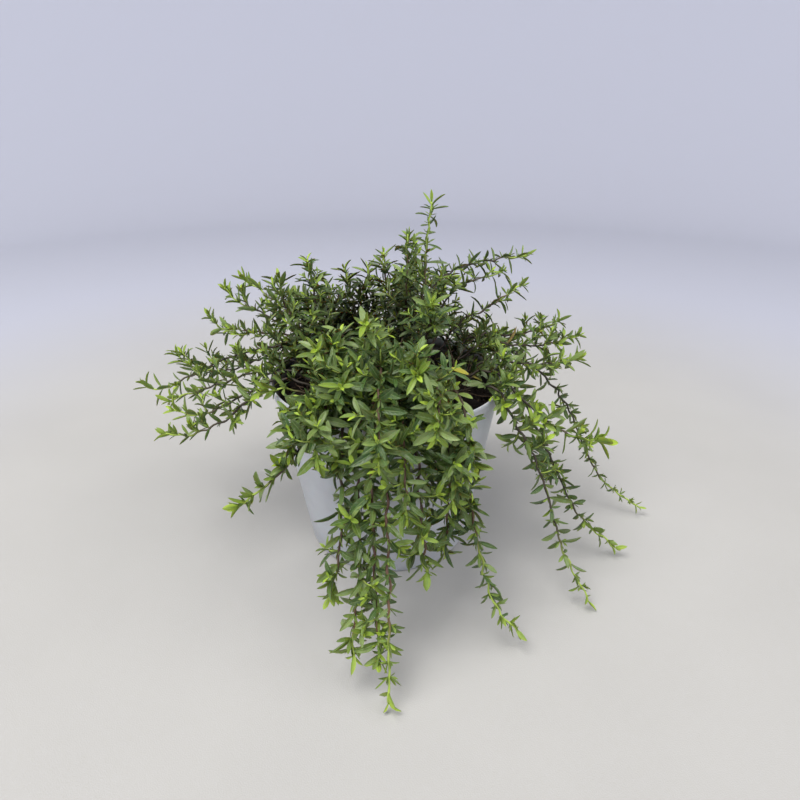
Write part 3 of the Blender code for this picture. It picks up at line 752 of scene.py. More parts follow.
def pot_plastic(settings):
    """Pale moulded plastic: a satin skin with faint clouding and fine scuffs.

    It has soil dust by the rim and the foot, and near-black painted shade inside the wall.
    """
    made, start, feed = new_finish("pot plastic", IOR=1.49, Subsurface_Weight=0.08, Subsurface_Scale=0.002)
    clouds = start.noise(38, 4)
    grain = start.noise(2600, 2)
    scuffs = start.noise(220, 5, roughness=0.7).step(0.56, 0.72)
    height = start.place().part(2)
    near_rim = height.step(0.070, 0.094)
    near_foot = 1 - height.step(0.002, 0.016)
    dust = start.noise(900, 6, roughness=0.75).step(0.54, 0.66) * (near_rim * 0.6 + near_foot * 0.5)
    pale = tuple(min(1, 1.12 * c) for c in settings.colour)
    dim = tuple(0.90 * c for c in settings.colour)
    colour = clouds.ramp((0.3, dim), (0.7, pale)).blend(DUST, dust * settings.soil_splash)
    # Painted shade: the inside of the wall, up to just below the lip, goes near black
    inner_shade = start.number("tone") * (1 - (height + (clouds - 0.5) * 0.004).step(0.0895, 0.0945))
    colour = colour.blend(INNER_SHADE, inner_shade * 0.95)
    feed("Base Color", colour)
    feed("Roughness", 0.34 + clouds * 0.12 + scuffs * 0.14 + dust * 0.3 + inner_shade * 0.4)
    feed("Normal", (grain * 0.5 + scuffs * 0.3).bump(0.00006, 0.5))
    return made


class SAVORY_OT_pot(bpy.types.Operator):
    """Turns the tapered plastic pot and cuts its drain holes"""

    bl_idname = "savory.pot"
    bl_label = "Plastic pot"

    def execute(self, context):
        settings = context.scene.savory_pot
        skin = Skin()
        profile = pot_profile()
        # On the pot, the tone number marks the inside, where the painted shade goes
        skin.add(*turned_surface(profile, settings.sides), tone=inner_shade_rings(profile, settings.sides))
        pot = show("plastic_pot", skin.mesh("plastic_pot", [pot_plastic(settings)]), "pot")
        cut_drain_holes(pot)
        return {"FINISHED"}


# The soil


def tube_frames(line):
    """Along a line: its heading, and a side and an upright square to it.

    The side is the line's flattest direction, by singular values, made square to each heading.
    """
    headings = unit(np.gradient(line, axis=0))
    flattest = np.linalg.svd(line - line.mean(axis=0))[2][-1]
    side = unit(flattest - headings * dot(headings, flattest))
    return headings, side, np.cross(headings, side)


def tube_points(line, radii, sides, square=0.0):
    """A tube round a line: at each ring, line + radius x (side x cosine + upright x sine).

    The radius swells by a share at the four corners, as 1 + square x cosine of four times the angle.
    """
    _, side, upright = tube_frames(line)
    angles = np.arange(sides) / sides * math.tau
    reach = radii[:, None] * (1 + square * np.cos(4 * angles))
    rings = side[:, None] * np.cos(angles)[:, None] + upright[:, None] * np.sin(angles)[:, None]
    points = line[:, None] + rings * reach[..., None]
    return np.vstack([points.reshape(-1, 3), line[0], line[-1]])


SOIL_SIDES = 180
SOIL_RINGS = 58
# Each size of lump on the soil: width and height
SOIL_LUMPS = ((14, 1.1), (5, 0.7), (1.8, 0.35))
SOIL_EDGE_WIDTH = 5.0
SOIL_EDGE_DIP = 1.5


def soil_body(rng):
    """The soil: a lumpy disc on top, straight sides that follow the wall, and a flat bottom.

    The top's height is the mean crown plus ripples about 14, 5 and 1.8 mm wide. Towards the wall the
    ripples fade and the top dips a little, as watered soil does.
    """
    bottom = INNER_FLOOR + SEAT_GAP
    edge = wall_radius(SOIL_TOP) - WALL - SEAT_GAP
    radii = edge * (1 - np.linspace(0, 1, SOIL_RINGS)[:-1])
    profile = [
        (0, bottom),
        (wall_radius(bottom) - WALL - SEAT_GAP - INNER_CORNER, bottom),
        (wall_radius(bottom + INNER_CORNER) - WALL - SEAT_GAP, bottom + INNER_CORNER),
        *[(radius, SOIL_TOP) for radius in radii],
        (0, SOIL_TOP),
    ]
    points, faces = turned_surface(np.array(profile, float), SOIL_SIDES)
    top = points[:, 2] > SOIL_TOP - 1
    flat = points[top, :2]
    inward = np.clip((edge - np.hypot(*flat.T)) / SOIL_EDGE_WIDTH, 0, 1)
    rough = sum(height * ripples(flat, width, rng) for width, height in SOIL_LUMPS)
    points[top, 2] = soil_height(*flat.T) + rough * inward - SOIL_EDGE_DIP * (1 - inward)
    return points, faces


# Where loose things lie, as distances from the pot's outside, and the sizes of what lies or stands
# in the soil
CRUMB_MARGIN, TWIG_MARGIN, TWIG_END_MARGIN = 7.0, 12.0, 6.0
CRUMB_SIDES, CRUMB_TILTS = 6, (-0.75, 0.0, 0.75)
CRUMB_SMALLEST, CRUMB_SKEW = 0.25, 2.2
CRUMB_LIFTS, CRUMB_STANDS = (-0.6, 0.5), 0.2
CRUMB_BUMPS, CRUMB_STRETCHES = (0.65, 1.3), (0.7, 1.2)
TWIG_POINTS = 9
TWIG_LENGTHS = (9.0, 26.0)
TWIG_RADII = (0.25, 0.55)
TWIG_TAPER = 0.6
TWIG_SIDES = 5
TWIG_BOWS, TWIG_KINK = (-0.25, 0.25), 0.35
TWIG_RISES, TWIG_TILTS = (0.6, 3.0), (-2, 3)
SNAG_CIRCLE = 42.0
SNAG_LEAN = 7.0
SNAG_HEIGHTS = (8.0, 34.0)
SNAG_KINK = 0.3
SNAG_SINK = 2
PALE_CRUMB = (0.14, 0.10, 0.06)
TWIG_BARK = ((0.045, 0.030, 0.020), (0.15, 0.105, 0.070))


def crumb_points(settings, rng):
    """Loose crumbs: rings of points at three heights of a ball, each pushed in or out at random."""
    count = settings.crumbs
    radius = (RIM_RADIUS - CRUMB_MARGIN) * np.sqrt(rng.uniform(0, 1, count))
    turn = rng.uniform(0, math.tau, count)
    size = settings.crumb_size / MM / 2 * rng.uniform(CRUMB_SMALLEST, 1, count) ** CRUMB_SKEW
    x, y = radius * np.cos(turn), radius * np.sin(turn)
    height = soil_height(x, y) + size * CRUMB_STANDS + rng.uniform(*CRUMB_LIFTS, count)
    tilt = np.array(CRUMB_TILTS)[:, None]
    angles = np.arange(CRUMB_SIDES) / CRUMB_SIDES * math.tau
    right, back = np.cos(angles) * np.cos(tilt), np.sin(angles) * np.cos(tilt)
    ball = np.stack([right, back, np.broadcast_to(np.sin(tilt), right.shape)], -1)
    ball = np.vstack([ball.reshape(-1, 3), (0, 0, -1), (0, 0, 1)])
    bumps = rng.uniform(*CRUMB_BUMPS, (count, len(ball), 1))
    shape = ball * bumps * rng.uniform(*CRUMB_STRETCHES, (count, 1, 3))
    centre = np.stack([x, y, height], -1)
    faces = loft_faces(len(CRUMB_TILTS), CRUMB_SIDES, count)
    return centre[:, None] + shape * size[:, None, None], faces


def twig_lines(count, rng):
    """Short bent lines that lie on the soil: a straight run with a sideways bow and a few kinks."""
    share = np.linspace(0, 1, TWIG_POINTS)[:, None]
    for _ in range(count):
        radius, turn = (RIM_RADIUS - TWIG_MARGIN) * math.sqrt(rng.uniform()), rng.uniform(0, math.tau)
        heading = rng.uniform(0, math.tau)
        run = rng.uniform(*TWIG_LENGTHS)
        along = np.array((math.cos(heading), math.sin(heading)))
        side = np.array((-along[1], along[0]))
        bow = rng.uniform(*TWIG_BOWS) * run * np.sin(math.pi * share)
        bow = bow + rng.normal(0, TWIG_KINK, share.shape)
        flat = radius * np.array((math.cos(turn), math.sin(turn))) + along * run * (share - 0.5) + side * bow
        reach = np.hypot(*flat.T)[:, None]
        flat *= np.minimum(1, (RIM_RADIUS - TWIG_END_MARGIN) / np.maximum(reach, 1))
        rise = rng.uniform(*TWIG_RISES) + rng.uniform(*TWIG_TILTS) * share[:, 0] ** 2
        yield np.column_stack([flat, soil_height(*flat.T) + rise])


def snag_lines(count, rng):
    """Short dead stems that rise from the soil: each leans a random way and bends back a little."""
    share = np.linspace(0, 1, TWIG_POINTS)[:, None]
    for _ in range(count):
        radius, turn = SNAG_CIRCLE * math.sqrt(rng.uniform()), rng.uniform(0, math.tau)
        foot = np.array((radius * math.cos(turn), radius * math.sin(turn)))
        lean, curl = rng.normal(0, SNAG_LEAN, (2, 2))
        flat = foot + lean * share + curl * share**2
        rise = rng.uniform(*SNAG_HEIGHTS) * share[:, 0] + rng.normal(0, SNAG_KINK, TWIG_POINTS)
        yield np.column_stack([flat, soil_height(*foot) - SNAG_SINK + rise])


def soil_finish(settings):
    """Damp peat: near-black brown with paler crumbs and fibres, quite matt."""
    made, start, feed = new_finish("peat", Specular_IOR_Level=0.3)
    lumps = start.noise(420, 6, roughness=0.7)
    fibres = start.noise(1500, 4, roughness=0.8)
    dark = tuple(0.45 * c for c in settings.colour)
    pale = tuple(2.6 * c for c in settings.colour)
    colour = (lumps * 0.6 + fibres * 0.4).ramp((0.36, dark), (0.55, settings.colour), (0.72, pale))
    feed("Base Color", colour.blend(PALE_CRUMB, start.number("tone").step(0.9, 1.0) * 0.6))
    feed("Roughness", 0.78 + fibres * 0.2)
    feed("Normal", (lumps + fibres * 0.6).bump(0.0009, 0.9))
    return made


def twig_finish():
    """Dry twigs: grey-brown bark with darker streaks."""
    made, start, feed = new_finish("dry twig", Specular_IOR_Level=0.25)
    streaks = start.noise(1100, 4)
    feed("Base Color", streaks.ramp((0.35, TWIG_BARK[0]), (0.65, TWIG_BARK[1])))
    feed("Roughness", 0.7 + streaks * 0.2)
    feed("Normal", streaks.bump(0.0003, 0.6))
    return made


class SAVORY_OT_soil(bpy.types.Operator):
    """Fills the pot with crumbly soil, with dry twigs on it and dead stems in it"""

    bl_idname = "savory.soil"
    bl_label = "Potting soil"

    def execute(self, context):
        settings = context.scene.savory_soil
        rng = np.random.default_rng(settings.seed)
        skin = Skin()
        skin.add(*soil_body(rng))
        crumbs, faces = crumb_points(settings, rng)
        skin.add(crumbs, faces, tone=np.repeat(rng.uniform(0, 1, len(crumbs)), crumbs.shape[1]))
        for line in (*twig_lines(settings.twigs, rng), *snag_lines(settings.snags, rng)):
            radii = rng.uniform(*TWIG_RADII) * (1 - TWIG_TAPER * np.linspace(0, 1, len(line)))
            skin.add(tube_points(line, radii, TWIG_SIDES), loft_faces(len(line), TWIG_SIDES), finish=1)
        mesh = skin.mesh("soil_bed", [soil_finish(settings), twig_finish()])
        show("soil_bed", mesh, "soil")
        return {"FINISHED"}


# Leaves


# The middle of the leafy part and how far it reaches from there, in metres, for the painted shade deep
# inside the plant
HEART = (0.0, 0.010, 0.090)
HEART_REACH = (0.078, 0.072, 0.072)
LIGHT = unit(np.array((0.05, -0.42, 1.0)))
WANDER = 0.35
WANDER_WIDTH = 11.0
TIP_GAP = 0.8
TIP_BARE = 0.4
GAP_SPREADS = (0.86, 1.14)
MOST_PAIRS = 44
# How far a pair's turn strays, in radians, and how leaves open with their rank from the tip
TURN_SPREAD = 0.16
OPENED_AHEAD, OPENED_OVER = 0.2, 1.4
YOUNG_TURN = 0.3
LENGTHS = (0.74, 1.2)
BREADTHS = (0.8, 1.16)
YOUNG_BREADTH = 0.36
MEAN_BEND, BEND_SPREAD, YOUNG_STRAIGHTENING = 0.42, 0.38, 0.3
FOLDS = (0.2, 0.62)
TWIST_SPREAD = 0.3
HEADING_SPREAD, FACE_SPREAD, SPREAD_SPREAD = 0.09, 0.14, 6.0
# The share of grown leaves that have dried, how young a leaf may be for that, and how dry they are
DRY_SHARE, DRY_UNTIL, DRYNESS = 0.0001, 0.3, (0.7, 1)
# A tuft's leaves: length as a share of its longest, and spread in degrees
TUFT_LEAVES = ((1.0, 42), (0.92, 38), (0.66, 28), (0.55, 22))
TUFT_SIZES, TUFT_SHARES = (0.32, 0.62), (0.8, 1.15)
# A tuft's age, what each of its leaves adds, what each rank from the tip takes, and its spread
TUFT_AGE, TUFT_AGE_STEP, TUFT_AGE_LOSS, TUFT_AGE_SPREAD = 0.30, 0.1, 0.02, 0.12
TUFT_TURN, TUFT_TURN_SPREAD = 0.6, 0.2
TUFT_LEAN = (0.75, 0.65)
TUFT_STALK = 0.7
BASE_TAPER, TIP_TAPER = 0.90, 0.84
FOLD_ROUNDING = 0.06
THICK_LENGTH = 8
LEAF_MARGIN = 0.6
POT_AND_SOIL_MARGIN = 1.0
# Shares of a leaf's length at which it is tested against what may be in its way
TESTED = np.array((0.3, 0.6, 0.85, 1.02))
TURNS_AWAY, TURNS_BEFORE_SHORTER, SHORTENING = 7, 4, 0.8
TURN_STEP, UP_OUTSIDE, IN_INSIDE = 0.3, 0.35, 0.6
LONE_BREADTH, LONE_BEND, LONE_FOLD, LONE_TONE = 0.3, 0.4, 0.3, 0.9
# Round a blade's edge from its right side: how far across, and above (+1) or below (-1) its edge
FINE_RING = ((1, 0), (0.5, 1), (0, 1), (-0.5, 1), (-1, 0), (0, -1))
PLAIN_RING = ((1, 0), (0, 1), (-1, 0), (0, -1))
# Leaves longer than each length get that many rows along the blade and that ring across it
GRADES = (
    (7.8, (0.09, 0.27, 0.50, 0.73, 0.91), FINE_RING),
    (4.6, (0.12, 0.36, 0.64, 0.88), PLAIN_RING),
    (0.0, (0.20, 0.62), PLAIN_RING),
)

Leaves = namedtuple("Leaves", "root heading face length width bend fold twist age tone dry")


def joined(groups):
    """Several groups of leaves as one."""
    return Leaves(*(np.concatenate(columns) for columns in zip(*groups)))


def chosen(leaves, keep):
    return Leaves(*(column[keep] for column in leaves))


def blade_points(leaves, rows, ring, thickness):
    """Points of many leaves at once, each as rings across its blade and two end points.

    With v along the blade and u across it: the midrib bends back on an arc whose angle grows as
    bend x v. The half width is width / 2 x v^base taper x (1 - v)^tip taper, over that product's
    greatest value. Each half is raised from the midrib by half width x rounded |u| x fold, the
    blade turns about its midrib by twist x v, and the underside lies thickness x (1 - u^2) below.
    """
    v = np.array((0, *rows, 1))
    u, layer = np.array(ring, float).T
    angle = leaves.bend[:, None] * v
    forward = leaves.length[:, None] * v * np.sinc(angle / math.pi)
    drop = leaves.length[:, None] * v * angle / 2 * np.sinc(angle / math.tau) ** 2
    heading, face = leaves.heading[:, None], leaves.face[:, None]
    centre = leaves.root[:, None] + heading * forward[..., None] - face * drop[..., None]
    normal = face * np.cos(angle)[..., None] + heading * np.sin(angle)[..., None]
    side = np.cross(face, heading)
    turn = (leaves.twist[:, None] * v)[..., None]
    side, normal = side * np.cos(turn) + normal * np.sin(turn), normal * np.cos(turn) - side * np.sin(turn)
    peak = BASE_TAPER / (BASE_TAPER + TIP_TAPER)
    greatest = peak**BASE_TAPER * (1 - peak) ** TIP_TAPER
    half = leaves.width[:, None] / 2 * v**BASE_TAPER * (1 - v) ** TIP_TAPER / greatest
    across = half[..., None] * u
    rounded_u = np.sqrt(u**2 + FOLD_ROUNDING) - math.sqrt(FOLD_ROUNDING)
    lift = half[..., None] * rounded_u * leaves.fold[:, None, None]
    depth = thickness * (0.5 + 0.5 * np.sin(math.pi * v))[:, None] * (1 - u**2) * np.minimum(layer, 0)
    depth = depth * np.minimum(1, leaves.length / THICK_LENGTH)[:, None, None]
    points = centre[:, :, None] + side[:, :, None] * across[..., None]
    points = points + normal[:, :, None] * (lift + depth)[..., None]
    rings = points[:, 1:-1].reshape(len(points), -1, 3)
    return np.concatenate([rings, centre[:, :1], centre[:, -1:]], axis=1)


def blade_numbers(rows, ring):
    """For one blade's points: how far across it and along it, underside or not, and on its rim or not."""
    u, layer = np.array(ring, float).T
    grid = len(rows), len(ring)
    return {
        "across": np.append(np.broadcast_to((u + 1) / 2, grid), (0.5, 0.5)),
        "along": np.append(np.repeat(rows, len(ring)), (0, 1)),
        "under": np.append(np.broadcast_to((1 - layer) / 2, grid), (0.5, 0.5)),
        "rim": np.append(np.broadcast_to(layer == 0, grid), (1, 1)),
    }


def add_leaves(skin, leaves, thickness):
    """Adds leaves to a skin, long ones as fine blades and short ones with fewer faces."""
    longest = math.inf
    for shortest, rows, ring in GRADES:
        some = chosen(leaves, (leaves.length > shortest) & (leaves.length <= longest))
        longest = shortest
        points = blade_points(some, rows, ring, thickness)
        numbers = {key: np.tile(value, len(points)) for key, value in blade_numbers(rows, ring).items()}
        for key in ("age", "tone", "dry"):
            numbers[key] = np.repeat(getattr(some, key), points.shape[1])
        skin.add(points, loft_faces(len(rows), len(ring), len(points)), **numbers)


def square_to(vectors, heading):
    """Unit vectors made square to headings."""
    return unit(vectors - heading * dot(vectors, heading))


def grown_leaves(root, stem, outward, spread, habit, length, age, settings, rng):
    """Leaves that spread from a stem at an angle, lift towards the sky and turn to face the light."""
    spread = np.radians(spread)[:, None]
    heading = stem * np.cos(spread) + outward * np.sin(spread) + UP * habit.lift
    heading = unit(heading + rng.normal(0, HEADING_SPREAD, heading.shape))
    inner = stem * np.sin(spread) - outward * np.cos(spread)
    grown = 1 - age[:, None]
    turn = habit.turn * (YOUNG_TURN + (1 - YOUNG_TURN) * grown)
    face = inner * (1 - turn) + LIGHT * turn + rng.normal(0, FACE_SPREAD, heading.shape)
    face = square_to(face, heading)
    count = len(root)
    shape = settings.leaf_shape * habit.broad * rng.uniform(*BREADTHS, count) * (1 + YOUNG_BREADTH * age)
    dry = (rng.uniform(0, 1, count) < DRY_SHARE) * (age < DRY_UNTIL) * rng.uniform(*DRYNESS, count)
    return Leaves(
        root=root,
        heading=heading,
        face=face,
        length=length,
        width=length * shape,
        bend=rng.normal(MEAN_BEND, BEND_SPREAD, count) - YOUNG_STRAIGHTENING * age,
        fold=np.tan(rng.uniform(*FOLDS, count)),
        twist=rng.normal(0, TWIST_SPREAD, count),
        age=age,
        tone=rng.uniform(0, 1, count),
        dry=dry,
    )


def pair_places(length, bare, habit, rng):
    """How far along an axis its leaf pairs stand, youngest first, and each one's rank from the tip.

    The gap before rank k is the tip's gap plus the rest of the full gap x (1 - e^(-(k / stretch)^2)).
    """
    ranks = np.arange(MOST_PAIRS)
    gaps = TIP_GAP + (habit.gap - TIP_GAP) * (1 - np.exp(-((ranks / habit.stretch) ** 2)))
    places = length - TIP_BARE - np.cumsum(gaps * rng.uniform(*GAP_SPREADS, MOST_PAIRS)) + gaps[0]
    keep = places > bare
    return places[keep], ranks[keep]


def axis_leaves(line, bare, habit, settings, rng, tufted=True):
    """An axis's opposite pairs, each turned a quarter from the last, with tufts in their axils.

    Returns the groups of leaves, and for each leaf of a pair where it stands (root, stem heading,
    outward direction, rank), for shoots to grow from.
    """
    travelled = distances_along(line)
    places, ranks = pair_places(travelled[-1], bare, habit, rng)
    root = read_at(places, travelled, line)
    stem = unit(read_at(places, travelled, np.gradient(line, axis=0)))
    level = square_to(np.cross(stem, UP) + (0.01, 0.02, 0), stem)
    upright = np.cross(level, stem)
    turn = rng.uniform(0, math.tau) + ranks * math.pi / 2 + rng.normal(0, TURN_SPREAD, len(ranks))
    turn = np.concatenate([turn, turn + math.pi])
    root, stem, level, upright, ranks = (np.concatenate([x, x]) for x in (root, stem, level, upright, ranks))
    outward = level * np.cos(turn)[:, None] + upright * np.sin(turn)[:, None]
    opened = 1 - np.exp(-(ranks + OPENED_AHEAD) / OPENED_OVER)
    spread = habit.closed + (habit.spread - habit.closed) * opened
    spread = spread + rng.normal(0, SPREAD_SPREAD, len(ranks))
    full = habit.leaf * settings.leaf_scale
    grown = habit.bud + (1 - habit.bud) * (1 - np.exp(-ranks / habit.swell))
    length = full * grown * rng.uniform(*LENGTHS, len(ranks))
    age = np.exp(-ranks / habit.young)
    groups = [grown_leaves(root, stem, outward, spread, habit, length, age, settings, rng)]
    if tufted:
        seats = np.flatnonzero((ranks >= 2) & (rng.uniform(0, 1, len(ranks)) < habit.tufts))
        if len(seats):
            groups.append(tuft_leaves(root, stem, outward, seats, ranks, habit, settings, rng))
    return groups, (root, stem, outward, ranks)


def tuft_leaves(root, stem, outward, seats, ranks, habit, settings, rng):
    """Tufts: four small leaves round a bud that leans out between the stem and each seat's leaf."""
    lean = unit(stem[seats] * TUFT_LEAN[0] + outward[seats] * TUFT_LEAN[1] + UP * habit.lift)
    side = square_to(np.cross(stem[seats], outward[seats]), lean)
    upright = np.cross(lean, side)
    size = habit.leaf * settings.leaf_scale * rng.uniform(*TUFT_SIZES, len(seats))
    groups = []
    for k, (share, spread) in enumerate(TUFT_LEAVES):
        turn = k * math.pi / 2 + (k // 2) * TUFT_TURN + rng.normal(0, TUFT_TURN_SPREAD, len(seats))
        turn = turn[:, None]
        around = side * np.cos(turn) + upright * np.sin(turn)
        length = size * share * rng.uniform(*TUFT_SHARES, len(seats))
        age = TUFT_AGE + TUFT_AGE_STEP * k - TUFT_AGE_LOSS * ranks[seats]
        age = np.clip(age + rng.normal(0, TUFT_AGE_SPREAD, len(seats)), 0, 1)
        spreads = np.full(len(seats), spread, float)
        seat = root[seats] + lean * TUFT_STALK
        groups.append(grown_leaves(seat, lean, around, spreads, habit, length, age, settings, rng))
    return joined(groups)


def in_the_way(points):
    """True where points lie in the pot's wall, in the soil or under the ground, with a small margin."""
    radius, height = np.hypot(points[..., 0], points[..., 1]), points[..., 2]
    band = np.where(height > POT_HEIGHT - RIM_BAND_HEIGHT - POT_AND_SOIL_MARGIN, RIM_BAND_STEP, 0)
    outer = wall_radius(height) + band
    inner = outer - WALL - POT_AND_SOIL_MARGIN
    in_wall = (height < POT_HEIGHT + LEAF_MARGIN) & (radius < outer + LEAF_MARGIN) & (radius > inner)
    soil_top = soil_height(points[..., 0], points[..., 1]) + POT_AND_SOIL_MARGIN
    return in_wall | ((radius < outer) & (height < soil_top)) | (height < LEAF_MARGIN)


def in_a_gap(points, gaps=GAPS):
    """True where points lie nearer to a gap's axis than its radius."""
    inside = np.zeros(points.shape[:-1], bool)
    for start, end, radius in gaps:
        axis = np.subtract(end, start)
        from_start = points - start
        share = np.clip(from_start @ axis / (axis @ axis), 0, 1)
        inside |= np.linalg.norm(from_start - share[..., None] * axis, axis=-1) < radius
    return inside


def lone_leaves(name, route, rng):
    """A sprig's single leaves in or by the gaps, face up, as a list of one group or none."""
    stray = LONE_LEAVES.get(name, ())
    if not stray:
        return []
    along, heading, length, age, dry = (np.array(column, float) for column in zip(*stray))
    count = len(stray)
    heading = unit(heading)
    level = np.ones(count)
    return [
        Leaves(
            root=read_at(along, distances_along(route), route),
            heading=heading,
            face=square_to(np.tile(LIGHT, (count, 1)), heading),
            length=length,
            width=length * LONE_BREADTH,
            bend=level * LONE_BEND,
            fold=level * LONE_FOLD,
            twist=rng.normal(0, TWIST_SPREAD, count),
            age=age,
            tone=level * LONE_TONE,
            dry=dry,
        )
    ]


def tested_spots(leaves, heading, length):
    """Four places along each leaf's straight line, the last just past its tip."""
    return leaves.root[:, None] + heading[:, None] * (length[:, None] * TESTED)[..., None]


def cleared(leaves, gaps=GAPS):
    """Leaves turned away from the pot, soil and ground, or shortened, or at last dropped.

    Those that cross one of the gaps are dropped too.
    """
    heading, length = leaves.heading.copy(), leaves.length.copy()
    radial = unit(leaves.root * (1, 1, 0))
    outside = np.hypot(*leaves.root[:, :2].T) > RIM_RADIUS - 1
    away = np.where(outside[:, None], radial + UP * UP_OUTSIDE, UP - radial * IN_INSIDE)
    for attempt in range(TURNS_AWAY):
        struck = in_the_way(tested_spots(leaves, heading, length)).any(axis=1)
        heading[struck] = unit(heading[struck] + away[struck] * TURN_STEP)
        if attempt >= TURNS_BEFORE_SHORTER:
            length[struck] *= SHORTENING
    spots = tested_spots(leaves, heading, length)
    face = square_to(leaves.face, heading)
    turned = leaves._replace(heading=heading, face=face, length=length)
    return chosen(turned, ~(in_the_way(spots) | in_a_gap(spots, gaps)).any(axis=1))


# Sprigs


STEM_SIDES, SHOOT_SIDES = 8, 5
STEM_TIP_RADIUS = 0.40
# How deep below its foot a stem starts, and by how much its bare stretch above the collar varies
ROOT_DEPTH, BARE_SPREAD = 2, 5
# How thick the shortest stems are as a share, and the length over which a whole share is added
THIN_SHARE, THICKENED_OVER = 0.72, 400
# How much of a leaf's tone comes from its sprig
TONE_SHARED = 0.25
SHOOT_RADII = (0.40, 0.26)
SHOOT_POINTS = 9
SHOOT_BARE = 1.8
# How long side shoots at the tip are as a share, and the ranks over which a whole share is added
SHOOT_SHARE, SHOOT_RANKS = 0.55, 14
# How far they stay green, their least age and its range
SHOOT_GREEN, SHOOT_AGE, SHOOT_AGE_RANGE = 8.0, 0.15, 0.75
# How a shoot leaves, along its stem and outward, and how it ends, as it left, upward and outward
SHOOT_START, SHOOT_END, SHOOT_STRAY = (0.6, 0.8), (0.5, 0.65, 0.35), 0.2
KNOT_WIDTH, KNOT_SWELLING = 0.8, 0.22
SQUARENESS = 0.07
STEM_SEGMENT = 1.3
BARK_SPREAD = 0.15


def shoot_line(root, stem, outward, length, rng):
    """A side shoot: it leaves between stem and leaf, and bends by an even turn towards the sky."""
    first = unit(stem * SHOOT_START[0] + outward * SHOOT_START[1])
    onward, upward, sideways = SHOOT_END
    last = first * onward + UP * upward + outward * sideways
    last = unit(last + rng.normal(0, SHOOT_STRAY, 3))
    share = np.linspace(0, 1, SHOOT_POINTS)[:, None]
    return root + length * (first * share + (last - first) * share**2 / 2)


def youth_along(line, green):
    """How young a stem is at each ring: e^(-(distance from the tip / length of the green end)^2)."""
    travelled = distances_along(line)
    return np.exp(-(((travelled[-1] - travelled) / green) ** 2))


def add_stem(skin, line, radii, sides, age, tone):
    """Adds a stem's tube, a little square in section, with its rings' age."""
    points = tube_points(line, radii, sides, square=SQUARENESS)
    ages = np.append(np.repeat(age, sides), (age[0], age[-1]))
    skin.add(points, loft_faces(len(line), sides), finish=1, age=ages, tone=tone)


def stem_radii(line, base, tip, knots):
    """A taper from base to tip by share^0.6, with a small swelling at each knot.

    The radius grows there by the swelling x e^(-(distance from the knot / its width)^2).
    """
    travelled = distances_along(line)
    share = travelled / travelled[-1]
    swell = np.exp(-(((travelled[:, None] - knots) / KNOT_WIDTH) ** 2)).sum(axis=1)
    return (base + (tip - base) * share**0.6) * (1 + KNOT_SWELLING * np.minimum(swell, 1))


def whole_stem(route, rng):
    """A stem's line from its foot in the soil, finely divided, with a slight wander."""
    foot = np.array([(route[0, 0], route[0, 1], STEM_FOOT - ROOT_DEPTH)])
    line = np.vstack([foot, route])
    travelled = distances_along(line)
    places = np.linspace(0, travelled[-1], max(30, round(travelled[-1] / STEM_SEGMENT)))
    line = read_at(places, travelled, line)
    wander = np.column_stack([ripples(places[:, None], WANDER_WIDTH, rng) for _ in range(3)])
    return line + WANDER * wander * np.clip(places / 20 - 0.5, 0, 1)[:, None]


def side_shoots(skin, seats, habit, bark, settings, rng):
    """Adds side shoots to a skin at some of a stem's seats, and returns their groups of leaves."""
    root, stem, outward, ranks = seats
    habit_of_shoots = habit._replace(
        leaf=habit.leaf * 0.86,
        gap=habit.gap * 0.55,
        closed=habit.closed + 8,
        young=min(habit.young, 1.8) * 0.6,
        bud=min(habit.bud, 0.5),
        swell=1.4,
        stretch=3.4,
    )
    free = np.flatnonzero(ranks >= habit.clear)
    groups = []
    for seat in rng.choice(free, min(len(free), habit.shoots), replace=False):
        share = min(1, SHOOT_SHARE + ranks[seat] / SHOOT_RANKS)
        length = rng.uniform(habit.shortest, habit.longest) * share
        shoot = shoot_line(root[seat], stem[seat], outward[seat], length, rng)
        if in_the_way(shoot[3:]).any() or in_a_gap(shoot).any():
            continue
        groups += axis_leaves(shoot, SHOOT_BARE, habit_of_shoots, settings, rng, tufted=False)[0]
        age = youth_along(shoot, SHOOT_GREEN) * SHOOT_AGE_RANGE + SHOOT_AGE
        add_stem(skin, shoot, np.linspace(*SHOOT_RADII, SHOOT_POINTS), SHOOT_SIDES, age, bark)
    return groups


def grow_sprig(name, route, settings, finishes, index):
    """One sprig: a tapering stem, its pairs and tufts of leaves, and its side shoots."""
    habit = HABITS[name.split("_")[0]]._replace(**EXCEPTIONS.get(name, {}))
    rng = np.random.default_rng([settings.seed, index])
    line = whole_stem(route, rng)
    travelled = distances_along(line)
    bare = STEM_COLLAR - STEM_FOOT + ROOT_DEPTH + rng.uniform(0, BARE_SPREAD)
    groups, seats = axis_leaves(line, bare, habit, settings, rng)
    skin = Skin()
    tone = rng.uniform(0, 1)
    bark = np.clip(habit.bark + rng.normal(0, BARK_SPREAD), 0, 1)
    thick = settings.stem_radius / MM * min(1, THIN_SHARE + travelled[-1] / THICKENED_OVER)
    knots = travelled[np.unique(np.linalg.norm(line[:, None] - seats[0], axis=-1).argmin(axis=0))]
    radii = stem_radii(line, thick, STEM_TIP_RADIUS, knots)
    add_stem(skin, line, radii, STEM_SIDES, youth_along(line, habit.green), bark)
    groups += side_shoots(skin, seats, habit, bark, settings, rng)
    lone = [cleared(group, gaps=()) for group in lone_leaves(name, route, rng)]
    leaves = joined([cleared(joined(groups)), *lone])
    tones = leaves.tone * (1 - TONE_SHARED) + tone * TONE_SHARED
    leaves = leaves._replace(tone=np.clip(tones, 0, 1))
    add_leaves(skin, leaves, settings.blade_thickness / MM)
    show(f"sprig_{name}", skin.mesh(f"sprig_{name}", finishes), f"stem_{name}")


